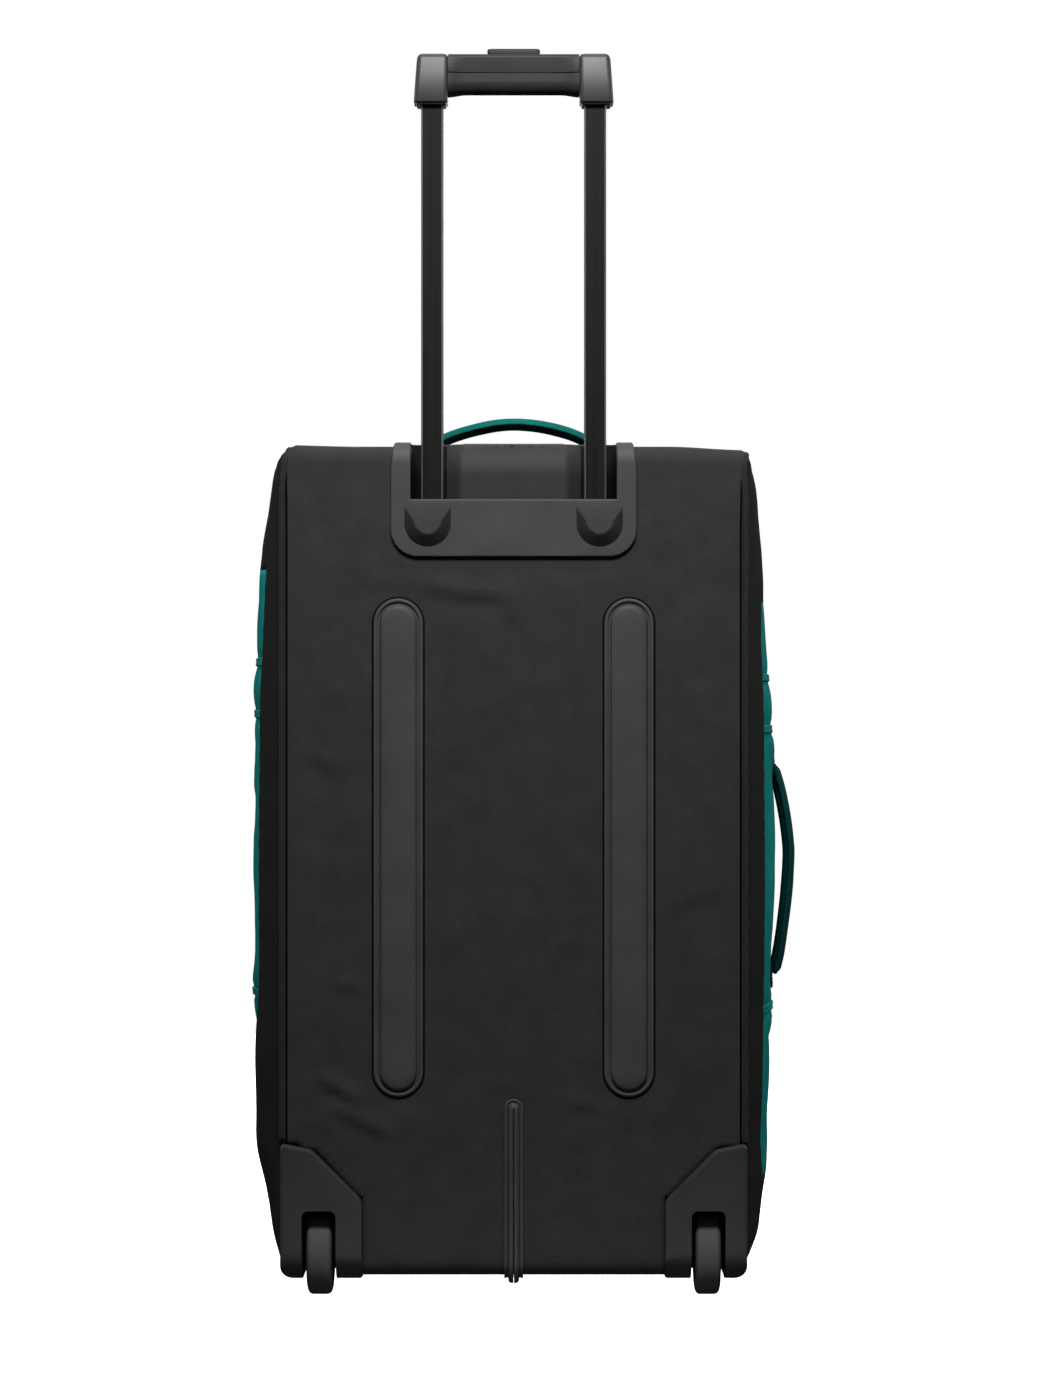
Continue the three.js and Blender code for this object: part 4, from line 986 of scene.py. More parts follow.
PIPING_RADIUS, PIPING_OFFSET, PIPING_LOW = 2.2, 2.6, 123
PIPING_FOOT = line_index(HEIGHT_LINES, PIPING_LOW)
for side_name, side in SIDES:
    edge_line = 0 if side < 0 else LAST_X
    path = []
    for up in range(PIPING_FOOT, LAST_Z + 1):
        sunk = 1 - 0.7 * ease((HEIGHT_LINES[up] - 615) / 30)
        path.append(CORNER_OF[edge_line, up, 0] + Vector((side * PIPING_OFFSET * sunk, 0.4, 0)))
    over_corner = [CORNER_OF[edge_line, LAST_Z, ring] for ring in range(1, SEAM_RING)]
    for n, point in enumerate(over_corner):
        share = ease((n + 1) / 8)
        path.append(point + Vector((side * (0.6 - 1.4 * share), 0, -0.9 * share)))
    path = smooth_path(path, 4)
    shape = bmesh.new()
    tube_along(shape, path, lambda n: PIPING_RADIUS + 0.12 * math.sin(n * 1.9), Vector((side, 0, 0.01)))
    finish_piece(
        "piping_cord_" + side_name, shape, PIPING_CLOTH, stands_for="piping_" + side_name,
    )


# Zip

def front_point(z):
    """The middle of the zip tape at a height."""
    middle = line_index(CROSS_LINES, 0)
    for up in range(ZIP_LOW, ZIP_HIGH):
        low, high = CORNER_OF[middle, up, LAST_RING], CORNER_OF[middle, up + 1, LAST_RING]
        if z <= high.z or up == ZIP_HIGH - 1:
            return low.lerp(high, clamp((z - low.z) / (high.z - low.z)))


COIL_PITCH, COIL_END, COIL_WIRE = 1.8, 5, 0.62
COIL_INNER, COIL_OUTER = (0.4, 1.2), (2.9, 0.9)  # the two ends of a tooth: x and lift
coil = bmesh.new()
for side in (-1, 1):
    path = []
    turns = int((ZIP_ENDS[1] - ZIP_ENDS[0] - 2 * COIL_END) / COIL_PITCH)
    for n in range(turns * 2):
        across, lift = COIL_INNER if n % 2 else COIL_OUTER
        middle = front_point(ZIP_ENDS[0] + COIL_END + n * COIL_PITCH / 2)
        path.append(middle + Vector((side * across, lift, 0)))
    tube_along(coil, path, COIL_WIRE, Vector((0, 1, 0)), sides=5)
finish_piece("zip_coil", coil, COIL_NYLON, stands_for="main_zip")

stops = bmesh.new()
for z in (ZIP_ENDS[0] + 3, ZIP_ENDS[1] - 3.5):
    made = bmesh.ops.create_cube(stops, size=1)["verts"]
    bmesh.ops.scale(stops, vec=(7, 3, 4), verts=made)
    bmesh.ops.translate(stops, vec=front_point(z) + Vector((0, 1.0, 0)), verts=made)
round_edges(stops, stops.edges, 0.9, 3)
finish_piece("zip_end_stops", stops, STEEL, stands_for="main_zip")


# Moulded handle housing, drawn flat in (x, height) and bent over the top edge of the bag

BEND_Z = BAG_TOP - END_ROUND
BEND_RUN = END_ROUND * math.pi / 2
PLATE_HALF, PLATE_LOW, PLATE_CORNER, PLATE_DEPTH = 93.8, 566, 21, 45
PLATE_THICK, CLOTH_GAP = 3, 0.3
TRAY_HALF, TRAY_FLOOR, TRAY_DEPTH, TRAY_CORNER = 78.5, 610, 34, 6
PAD_DEPTH, PAD_HALF, PAD_FLANK = 24, 39, 53
TRAY_STATIONS = [-PAD_FLANK, -PAD_HALF, PAD_HALF, PAD_FLANK]
PLATE_FACE = -CLOTH_GAP - PLATE_THICK


def over_top(x, run, off):
    """A point off the back panel, with its run bent over the top edge."""
    if run <= BEND_Z:
        return Vector((x, -off, run))
    if run <= BEND_Z + BEND_RUN:
        turn = (run - BEND_Z) / END_ROUND
        reach = END_ROUND + off
        return Vector((x, END_ROUND - reach * math.cos(turn), BEND_Z + reach * math.sin(turn)))
    return Vector((x, END_ROUND + run - BEND_Z - BEND_RUN, BAG_TOP + off))


def tray_rear(x):
    """Depth of the recess's rear wall: a raised pad in the middle and rounded inner corners."""
    wide = abs(x)
    depth = PAD_DEPTH + (TRAY_DEPTH - PAD_DEPTH) * ease((wide - PAD_HALF) / (PAD_FLANK - PAD_HALF))
    near_side = wide - (TRAY_HALF - TRAY_CORNER)
    if near_side > 0:
        depth -= TRAY_CORNER - math.sqrt(max(TRAY_CORNER**2 - near_side**2, 0))
    return depth


def run_of_depth(y):
    """The run along the bent plate that ends at a depth on top of the bag."""
    return BEND_Z + BEND_RUN + y - END_ROUND


def housing_plate():
    bm = bmesh.new()
    xs = spread([-PLATE_HALF, -TRAY_HALF, *TRAY_STATIONS, TRAY_HALF, PLATE_HALF], 4)
    bend_end, hole_top, plate_top = BEND_Z + BEND_RUN, run_of_depth(TRAY_DEPTH), run_of_depth(PLATE_DEPTH)
    runs = spread([PLATE_LOW, TRAY_FLOOR, BEND_Z, bend_end, hole_top, plate_top], 3.2)
    grid = bmesh.ops.create_grid(bm, x_segments=len(xs) - 1, y_segments=len(runs) - 1, size=1)["verts"]
    for vert in grid:
        i = round((vert.co.x + 1) / 2 * (len(xs) - 1))
        j = round((vert.co.y + 1) / 2 * (len(runs) - 1))
        x, run = xs[i], runs[j]
        if run > bend_end:
            edge = run_of_depth(tray_rear(x) if abs(x) <= TRAY_HALF else TRAY_DEPTH - TRAY_CORNER)
            if run <= hole_top:
                run = bend_end + (run - bend_end) * (edge - bend_end) / (hole_top - bend_end)
            else:
                run = edge + (run - hole_top) * (plate_top - edge) / (plate_top - hole_top)
        vert.co = Vector((x, run, 0))
    in_hole = [
        f for f in bm.faces
        if abs(f.calc_center_median().x) < TRAY_HALF and all(v.co.y > TRAY_FLOOR - 0.01 for v in f.verts)
        and min(v.co.y for v in f.verts) < run_of_depth(tray_rear(f.calc_center_median().x)) - 0.4
    ]
    bmesh.ops.delete(bm, geom=in_hole, context="FACES")
    for vert in bm.verts:
        side, low = abs(vert.co.x) - (PLATE_HALF - PLATE_CORNER), PLATE_LOW + PLATE_CORNER - vert.co.y
        if side > 0 and low > 0:
            shrink = max(side, low) / math.hypot(side, low)
            vert.co.x = math.copysign(PLATE_HALF - PLATE_CORNER + side * shrink, vert.co.x)
            vert.co.y = PLATE_LOW + PLATE_CORNER - low * shrink
    raise_faces(bm, bm.faces[:], PLATE_THICK)
    bmesh.ops.recalc_face_normals(bm, faces=bm.faces)
    rim = [e for e in sharp_edges(bm, 60) if all(v.co.z > PLATE_THICK - 0.01 for v in e.verts)]
    round_edges(bm, rim, 1.3, 4)
    for vert in bm.verts:
        x, run, off = vert.co
        narrow = 1 - 0.036 * ease((run - BEND_Z + 12) / 40) if abs(x) > TRAY_HALF + 6 else 1
        vert.co = over_top(x * narrow, run, off + CLOTH_GAP)
    bmesh.ops.recalc_face_normals(bm, faces=bm.faces)
    return bm


finish_piece(
    "handle_housing_plate", housing_plate(), GREY_PLASTIC, stands_for="handle_housing",
)


TRAY_WALL = 2.0
TRAY_SUNK = 1.2  # how far the tray's rim lies below the plate's face
# The last value is where the painted shade of the outer wells starts.
WELL_X, WELL_Y, WELL_SHADE_FROM = (53.2, 71.6), (8.3, 23.7), 51  # the openings for the tubes


def tray_top(y):
    """Height of the tray's upper edge, which follows the plate over the edge of the bag."""
    if y >= END_ROUND:
        return BAG_TOP + CLOTH_GAP + PLATE_THICK - TRAY_SUNK
    reach = END_ROUND + CLOTH_GAP + PLATE_THICK - TRAY_SUNK
    return BEND_Z + math.sqrt(max(reach**2 - (END_ROUND - y) ** 2, 0))


def housing_tray():
    bm = bmesh.new()
    front = PLATE_FACE + TRAY_SUNK
    corner_x = TRAY_HALF - TRAY_CORNER
    xs = spread([-TRAY_HALF, -corner_x, *TRAY_STATIONS, corner_x, TRAY_HALF], 1.5)
    rear = [(x, tray_rear(x)) for x in xs]
    side = spread([front, END_ROUND, rear[0][1]], 2)
    section = [(-TRAY_HALF, y) for y in side[:-1]] + rear + [(TRAY_HALF, y) for y in reversed(side[:-1])]
    heights = [TRAY_FLOOR, TRAY_FLOOR + 1.5, TRAY_FLOOR + 4, TRAY_FLOOR + 20, None]
    loops = []
    for height in heights:
        loops.append([Vector((x, y, tray_top(y) if height is None else height)) for x, y in section])
    loft(bm, loops, ends=False, closed=False)
    ring = [v for v in bm.verts if abs(v.co.z - TRAY_FLOOR) < 0.001]
    ring.sort(key=lambda v: v[bm.verts.layers.int["place"]])
    bm.faces.new(ring)
    for plane, normal in [
        *[((x, 0, 0), (1, 0, 0)) for x in (-WELL_X[1], -WELL_X[0], WELL_X[0], WELL_X[1])],
        *[((0, y, 0), (0, 1, 0)) for y in WELL_Y],
    ]:
        floor_faces = [f for f in bm.faces if all(abs(v.co.z - TRAY_FLOOR) < 0.001 for v in f.verts)]
        floor_geometry = set(floor_faces)
        for face in floor_faces:
            floor_geometry.update(face.edges)
            floor_geometry.update(face.verts)
        bmesh.ops.bisect_plane(bm, geom=list(floor_geometry), plane_co=plane, plane_no=normal, dist=0.001)
    holes = []
    for face in bm.faces:
        middle = face.calc_center_median()
        in_well = WELL_X[0] < abs(middle.x) < WELL_X[1] and WELL_Y[0] < middle.y < WELL_Y[1]
        if abs(middle.z - TRAY_FLOOR) < 0.001 and in_well:
            holes.append(face)
    bmesh.ops.delete(bm, geom=holes, context="FACES")
    bmesh.ops.recalc_face_normals(bm, faces=bm.faces)
    # The tray's outer wells get near-black plastic: painted shade.
    for face in bm.faces:
        face.material_index = 1 if abs(face.calc_center_median().x) > WELL_SHADE_FROM else 0
    lowest = min(bm.faces, key=lambda f: f.calc_center_median().z)
    if lowest.normal.z < 0:
        bmesh.ops.reverse_faces(bm, faces=bm.faces)
    return bm


tray = finish_piece(
    "handle_housing_tray", housing_tray(), [RECESS_SHADE_PLASTIC, WELL_SHADE_PLASTIC], stands_for="handle_housing",
    sharp=50,
)
thicken(tray, TRAY_WALL)


def wedge_bump(x):
    """A wedge that rises from the plate towards a rounded nose above its half-round lower end."""
    bm = bmesh.new()
    half, top, low = 18.5, 605.4, 573.2
    round_z = low + half
    nose, nose_z, rise = 8.4, 592.0, 5.0
    foot = [(-half, top), (-half, (top + round_z) / 2)]
    face = [(-half, top), (-(half + nose) / 2, (top + nose_z) / 2)]
    for n in range(25):
        turn = math.pi + math.pi * n / 24
        foot.append((half * math.cos(turn), round_z + half * math.sin(turn)))
        face.append((nose * math.cos(turn), nose_z + nose * math.sin(turn)))
    foot += [(half, (top + round_z) / 2), (half, top)]
    face += [((half + nose) / 2, (top + nose_z) / 2), (half, top)]
    lip_z = nose_z - nose

    def loop(share, lift):
        points = []
        for (fx, fz), (gx, gz) in zip(foot, face):
            height = rise * clamp((top - gz) / (top - lip_z)) * lift
            across, up = fx + (gx - fx) * share, fz + (gz - fz) * share
            points.append(Vector((x + across, PLATE_FACE + 0.3 - height, up)))
        return points

    sunk = [Vector((p.x, PLATE_FACE + 1.2, p.z)) for p in loop(0, 0)]
    rising = [(0, 0.0), (0.38, 0.46), (0.74, 0.88), (0.86, 0.965), (0.94, 0.992), (1.0, 1.0)]
    loft(bm, [sunk] + [loop(share, lift) for share, lift in rising])
    bmesh.ops.dissolve_degenerate(bm, edges=bm.edges, dist=0.01)
    close_shape(bm)
    bm.normal_update()
    # Walls facing down or sideways get the darker plastic: painted shade.
    for wall in bm.faces:
        wall.material_index = 1 if wall.normal.z < 0.12 or abs(wall.normal.x) > 0.5 else 0
    return bm


BUMP_X = 65.5
for side_name, side in SIDES:
    finish_piece(
        "handle_housing_bump_" + side_name, wedge_bump(side * BUMP_X), [BUMP_FACE_SHADE, BUMP_FLANK_SHADE],
        stands_for="handle_housing", sharp=34,
    )


# Skid strips and kick rail

def stadium(x, low, high, radius, steps, rows=1):
    """Points round an upright strip with half-round ends, in (x, height)."""
    points = []
    for start, z in ((math.pi, low), (0, high)):
        for n in range(steps + 1):
            turn = start + math.pi * n / steps
            points.append((x + radius * math.cos(turn), z + radius * math.sin(turn)))
        other = high if z == low else low
        side = x + radius * math.cos(start + math.pi)
        points += [(side, z + (other - z) * n / rows) for n in range(1, rows)]
    return points


# Sections from the edge inwards: distance from the edge and height above the cloth.
SKID_STEPS = [
    (-1.3, -0.8), (-1.3, 0.2), (-0.9, 0.45), (0, 0.5), (0.05, 1.0), (0.3, 1.5), (0.9, 1.9), (1.7, 2.0),
    (2.5, 1.85), (3.0, 1.4), (3.3, 0.7), (4.0, 0.55), (4.6, 0.7), (4.9, 1.7), (5.3, 2.7), (6.0, 3.5),
    (7.1, 4.0), (8.8, 4.3), (11.0, 4.5), (14.0, 4.6), (16.4, 4.65), (18.2, 4.65),
]


def paint_lip_shadow(shape, height):
    """Gives the lip that lies flat on the cloth round a moulding a painted shadow."""
    for face in shape.faces:
        face.material_index = 1 if all(-vert.co.y - CLOTH_GAP < height for vert in face.verts) else 0


for side_name, side in SIDES:
    shape = bmesh.new()
    loops = []
    for inset, rise in SKID_STEPS:
        outline = stadium(
            side * SKID_X, SKID_LOW + SKID_HALF, SKID_HIGH - SKID_HALF, SKID_HALF - inset, steps=20,
        )
        loops.append([Vector((x, -CLOTH_GAP - rise, z)) for x, z in outline])
    loft(shape, loops)
    # The lip on the cloth gets near-black cloth: painted shadow under the moulding's edge.
    paint_lip_shadow(shape, 0.6)
    finish_piece(
        "skid_moulding_" + side_name, shape, [GREY_PLASTIC, SEAM_SHADOW_PAINT], stands_for="skid_strip_" + side_name,
        sharp=50,
    )

RAIL_STEPS = [
    (0, -0.6), (0, 1.7), (0.3, 2.25), (0.9, 2.45), (1.5, 2.2), (1.9, 1.75), (2.6, 1.7), (2.95, 2.2),
    (3.3, 4.4), (3.9, 5.4), (4.9, 5.85), (6.2, 6.0), (7.0, 6.0),
]
RAIL_HALF, RAIL_HIGH, RAIL_DEPTH = 7.25, 153, 92
RAIL_LOW = BAG_BOTTOM + END_ROUND - BEND_RUN - (RAIL_DEPTH - END_ROUND)


def under_bottom(x, run, off):
    """A point off the back panel, with its run bent round the bottom edge."""
    bend = BAG_BOTTOM + END_ROUND
    if run >= bend:
        return Vector((x, -off, run))
    if run >= bend - BEND_RUN:
        turn = (bend - run) / END_ROUND
        reach = END_ROUND + off
        return Vector((x, END_ROUND - reach * math.cos(turn), bend - reach * math.sin(turn)))
    return Vector((x, END_ROUND + bend - BEND_RUN - run, BAG_BOTTOM - off))


rail = bmesh.new()
loops = []
for inset, rise in RAIL_STEPS:
    outline = stadium(0, RAIL_LOW + RAIL_HALF, RAIL_HIGH - RAIL_HALF, RAIL_HALF - inset, steps=14, rows=90)
    loops.append([under_bottom(x, z, CLOTH_GAP + rise) for x, z in outline])
loft(rail, loops)
finish_piece("kick_rail_moulding", rail, GREY_PLASTIC, stands_for="kick_rail", sharp=50)


# Pull handle

TUBE_X, TUBE_Y = 62.4, 16
TUBE_LOW, TUBE_HIGH = 398, 938


def rounded_section(x0, x1, y0, y1, radius, steps=5):
    """Points round a rectangle with rounded corners."""
    points = []
    left, right, near, far = x0 + radius, x1 - radius, y0 + radius, y1 - radius
    for start, (cx, cy) in enumerate(((right, far), (left, far), (left, near), (right, near))):
        for n in range(steps + 1):
            turn = (start + n / steps) * math.pi / 2
            points.append((cx + radius * math.cos(turn), cy + radius * math.sin(turn)))
    return points


def pull_tube(x):
    bm = bmesh.new()
    half_x, half_y, chamfer = 8.5, 7, 1.3
    flat_x, flat_y = half_x - chamfer, half_y - chamfer
    section = [
        (-flat_x, -half_y), (flat_x, -half_y), (half_x, -flat_y), (half_x, flat_y),
        (flat_x, half_y), (-flat_x, half_y), (-half_x, flat_y), (-half_x, -flat_y),
    ]
    loft(bm, [[Vector((x + px, TUBE_Y + py, z)) for px, py in section] for z in (TUBE_LOW, TUBE_HIGH)])
    round_edges(bm, bm.edges, 0.2, 2)
    bm.normal_update()
    # Chamfer faces get the brighter finish: painted highlight.
    for face in bm.faces:
        face.material_index = 1 if min(abs(face.normal.x), abs(face.normal.y)) > 0.3 else 0
    return bm


for side_name, side in SIDES:
    finish_piece(
        "tube_" + side_name, pull_tube(side * TUBE_X), [BLACK_TUBE, TUBE_EDGE_HIGHLIGHT], "handle",
        "pull_tube_" + side_name, sharp=30,
    )


def grip_cap(side):
    bm = bmesh.new()
    loops = []
    low, high, top_round = 911.8, 951.0, 4.6

    def section(z, inset):
        share = clamp((z - low) / (high - low))
        outer = 76.6 - 2.9 * share - inset * (1.6 if z < low + 2 else 1)
        inner = 50.4 - 0.7 * ease(share * 1.4) + inset
        belly = 2.4 * math.sin(math.pi * share ** 0.8)
        half = 12.4 + belly - inset
        radius = max(2.2, 4.2 - inset)
        points = rounded_section(inner, outer, TUBE_Y - half, TUBE_Y + half, radius)
        loops.append([Vector((side * x, y, z)) for x, y in points])

    for rise, inset in ((0, 1.9), (0.4, 1.4), (1.5, 1.3), (1.8, 0.9), (2.0, 0.3), (2.6, 0.0)):
        section(low + rise, inset)
    for n in range(1, 9):
        section(low + 2.6 + (high - top_round - low - 2.6) * n / 8, 0.0)
    for n in range(1, 7):
        turn = n / 6 * math.pi / 2
        section(high - top_round * (1 - math.sin(turn)), top_round * (1 - math.cos(turn)) * 0.8)
    loft(bm, loops)
    return close_shape(bm)


for side_name, side in SIDES:
    finish_piece(
        "grip_cap_moulding_" + side_name, grip_cap(side), CAP_HIGHLIGHT_PLASTIC, "handle", "grip_cap_" + side_name,
        sharp=50,
    )


BAR_TOP, BAR_LOW, BAR_Y, BAR_HALF = 950.4, 920.4, 12.5, 50.1
GROOVE_Z = 935.8
POCKET_X, POCKET_Y, POCKET_DEPTH = 20.3, 5.8, 13.6  # the button's pocket in the bar


def grip_bar():
    """The bar between the caps, with a groove all round, flared ends and the button's pocket."""
    bm = bmesh.new()
    profile = []
    half = 9.5

    def arc(cy, cz, radius, start, end, steps):
        for n in range(steps + 1):
            turn = math.radians(start + (end - start) * n / steps)
            profile.append((cy + radius * math.cos(turn), cz + radius * math.sin(turn)))

    arc(half - 3.2, BAR_TOP - 3.2, 3.2, 0, 90, 5)
    profile.extend([(POCKET_Y, BAR_TOP), (-POCKET_Y, BAR_TOP)])
    arc(-half + 3.2, BAR_TOP - 3.2, 3.2, 90, 180, 5)
    profile.extend([
        (-half + 0.5, 940.6), (-half + 0.95, 936.2), (-half + 1.5, GROOVE_Z), (-half + 1.0, 935.3),
    ])
    arc(-half + 10.2, BAR_LOW + 9.2, 9.2, 180, 270, 8)
    arc(half - 8.6, BAR_LOW + 8.6, 8.8, 270, 360, 8)
    profile.extend([
        (half + 0.2, 935.3), (half - 0.25, GROOVE_Z), (half + 0.3, 936.2), (half + 0.25, 940.6),
    ])
    middle_z = (BAR_TOP + BAR_LOW) / 2
    loops = []
    for x in spread([-BAR_HALF, -43, -POCKET_X, POCKET_X, 43, BAR_HALF], 2.5):
        flare = ease((abs(x) - 34) / 16) ** 1.5
        loop = []
        for y, z in profile:
            if z == GROOVE_Z and abs(x) > 30:
                y -= math.copysign(0.5, y)
            y += math.copysign(2.6 * flare * clamp((BAR_TOP - z) / 8), y)
            loop.append(Vector((x, BAR_Y + y, z - flare * 1.2 * clamp((middle_z - z) / 12))))
        loops.append(loop)
    loft(bm, loops)
    pocket = []
    for face in bm.faces:
        x, y, z = face.calc_center_median()
        if abs(x) < POCKET_X and abs(y - BAR_Y) < POCKET_Y and z > BAR_TOP - 0.5 and abs(face.normal.x) < 0.5:
            pocket.append(face)
    raise_faces(bm, pocket, -POCKET_DEPTH)
    bmesh.ops.delete(bm, geom=pocket, context="FACES_ONLY")
    return close_shape(bm)


finish_piece("grip_bar_moulding", grip_bar(), GRIP_PLASTIC, "handle", "grip_bar", sharp=40)

button = bmesh.new()
loops = []
for z, half_x, half_y in (
    (941.2, 18.3, 5.2), (950.6, 18.3, 5.2), (950.8, 18.8, 5.3), (951.1, 20.1, 5.45), (953.8, 20.2, 5.5),
    (954.5, 19.8, 5.2), (954.85, 19.1, 4.5), (954.9, 18.4, 3.8),
):
    section = rounded_section(-half_x, half_x, -half_y, half_y, 2.4)
    loops.append([Vector((x, BAR_Y + y, z)) for x, y in section])
loft(button, loops)
finish_piece(
    "release_button_cap", close_shape(button), GRIP_PLASTIC, "button", "release_button",
    sharp=50,
)


# Wheels, their housings and the front feet

# Sections of the wheel's parts: distance along the axle and from it.
WHEEL_X, WHEEL_Y, WHEEL_R = 148.5, 27, 32
TYRE_SECTION = [
    (-9.6, 22.0), (-9.8, 25.0), (-9.7, 27.0), (-9.3, 28.8), (-8.7, 30.2), (-7.8, 31.2), (-6.6, 31.8),
    (-5.0, 32.0), (0.0, 32.0), (5.0, 32.0), (6.6, 31.8), (7.8, 31.2), (8.7, 30.2), (9.3, 28.8), (9.7, 27.0),
    (9.8, 25.0), (9.6, 22.0),
]
HUB_SECTION = [
    (-12.2, 3.9), (-12.4, 4.3), (-12.4, 7.0), (-11.8, 7.9), (-10.8, 8.1), (-4.4, 8.4), (-3.2, 9.4),
    (-3.0, 10.6), (-3.0, 16.6), (-3.6, 17.8), (-6.6, 18.9), (-7.9, 19.2), (-7.9, 21.8), (7.9, 21.8),
    (7.9, 19.2), (6.6, 18.9), (3.6, 17.8), (3.0, 16.6), (3.0, 10.6), (3.2, 9.4), (4.4, 8.4), (10.8, 8.1),
    (11.8, 7.9), (12.4, 7.0), (12.4, 4.3), (12.2, 3.9),
]


def turned_wheel(x, section):
    bm = bmesh.new()
    ring = [bm.verts.new((x + along, WHEEL_Y, WHEEL_R + radius)) for along, radius in section]
    edges = [bm.edges.new((ring[n - 1], ring[n])) for n in range(len(ring))]
    bmesh.ops.spin(
        bm, geom=ring + edges, cent=(x, WHEEL_Y, WHEEL_R), axis=(1, 0, 0), angle=2 * math.pi, steps=72,
        use_merge=True,
    )
    return close_shape(bm)


for side_name, side in SIDES:
    wheel = "wheel_" + side_name
    finish_piece(
        "tyre_tread_" + side_name, turned_wheel(side * WHEEL_X, TYRE_SECTION), TYRE_RUBBER, wheel,
        "tyre_" + side_name, sharp=50,
    )
    finish_piece(
        "hub_moulding_" + side_name, turned_wheel(side * WHEEL_X, HUB_SECTION), GRIP_PLASTIC, wheel,
        "wheel_hub_" + side_name, sharp=50,
    )
    finish_piece(
        "wheel_shell_" + side_name, eased_copy("wheel_housing_" + side_name, 0.45), SHELL_PLASTIC,
        stands_for="wheel_housing_" + side_name, sharp=32,
    )
    finish_piece(
        "foot_block_" + side_name, eased_copy("front_foot_" + side_name, 1.2, segments=3), FOOT_RUBBER,
        stands_for="front_foot_" + side_name, sharp=50,
    )

finish_piece(
    "zip_slider_casting", eased_copy("zip_slider", 0.5), STEEL, stands_for="zip_slider",
    sharp=40,
)


# Carry handles

def strap_section(width, middle, edge):
    """Points round a padded strap's section: a crowned middle between flat sewn edges."""
    half = width / 2
    rows = [
        (-half, edge * 0.5), (-half + 0.8, edge), (-half + 3.6, edge + 0.2), (-half + 4.6, edge + 1.1),
        (-half + 7, middle * 0.84), (-half + 11, middle * 0.97),
    ]
    rows += [(0, middle)] + [(-y, t) for y, t in reversed(rows)]
    upper = [(y, t / 2) for y, t in rows]
    lower = [(y, -t / 2) for y, t in reversed(rows)]
    return upper + lower


def curve_between(p0, p1, p2, p3, t):
    """A point of the smooth curve through four points, at a share of the way from p1 to p2."""
    return 0.5 * (
        2 * p1 + (p2 - p0) * t + (2 * p0 - 5 * p1 + 4 * p2 - p3) * t * t + (3 * p1 - p0 - 3 * p2 + p3) * t**3
    )


def carry_handle(route, out_of):
    """A padded strap along a smooth route in (x, z)."""
    bm = bmesh.new()
    points = [Vector((x, HANDLE_Y, z)) for x, z in route]
    fine = []
    for n in range(len(points) - 1):
        near = [points[clamp(n + k, 0, len(points) - 1)] for k in (-1, 0, 1, 2)]
        fine += [curve_between(*near, step / 10) for step in range(10)]
    fine.append(points[-1])
    loops = []
    for n, point in enumerate(fine):
        aim = (fine[min(n + 1, len(fine) - 1)] - fine[max(n - 1, 0)]).normalized()
        out = aim.cross(Vector((0, 1, 0)))
        if out.dot(out_of) < 0:
            out = -out
        share = n / (len(fine) - 1)
        padded = ease(share / 0.09) * ease((1 - share) / 0.09)
        thick = 4.0 + 5.6 * padded + 0.35 * cloud(point.x, 0, point.z, 17, 2.5)
        wide = 27.5 + 4.5 * ease(share / 0.06) * ease((1 - share) / 0.06)
        loops.append([point + Vector((0, y, 0)) + out * t for y, t in strap_section(wide, thick, 2.6)])
    loft(bm, loops)
    return close_shape(bm)


TOP_ROUTE = [
    (-84, 653.2), (-76, 656.4), (-66, 662.4), (-52, 669.6), (-34, 675.3), (-14, 679.4), (4, 680.2),
    (24, 678.0), (44, 672.9), (58, 666.8), (70, 660.2), (78, 655.6), (85, 653.2),
]
SIDE_ROUTE = [
    (209.5, 405), (211.5, 397), (215, 384), (219, 364), (221.6, 344), (222.2, 330), (220.6, 303),
    (217.6, 277), (214.4, 255), (211.8, 243), (210.2, 236),
]
top_handle = finish_piece(
    "top_handle_pad", carry_handle(TOP_ROUTE, Vector((0, 0, 1))), TEAL_TOP_STRAP,
    stands_for="top_carry_handle", sharp=60,
)
side_handle = finish_piece(
    "side_handle_pad", carry_handle(SIDE_ROUTE, Vector((1, 0, 0))), TEAL_SIDE_STRAP_SHADE,
    stands_for="side_carry_handle", sharp=60,
)


def weighted_mean(near):
    """The mean of the four nearest values, from (squared distance, value) pairs."""
    nearest = sorted(near)[:4]
    weights = [1 / (d + 0.5) for d, _ in nearest]
    return sum(w * value for w, (_, value) in zip(weights, nearest)) / sum(weights)


def top_surface_z(x, y):
    """Height of the bag's top at a place."""
    return weighted_mean(
        ((co.x - x) ** 2 + (co.y - y) ** 2, co.z) for (_, up, _), co in CORNER_OF.items()
        if up == LAST_Z and abs(co.x - x) < 9 and abs(co.y - y) < 9
    )


def side_surface_x(y, z):
    """How far the bag's right side stands out at a place."""
    return weighted_mean(
        ((co.z - z) ** 2 + (co.y - y) ** 2, co.x) for (across, _, _), co in CORNER_OF.items()
        if across == LAST_X and abs(co.z - z) < 9 and abs(co.y - y) < 9
    )


TAB_THICK, STITCH_BORDER, STITCH_PITCH, STITCH_THREAD = 2.0, 3, 2.8, 0.36
STITCH_SUNK, STITCH_PROUD = 1.95, 2.15  # height of a stitch's ends and of its middle


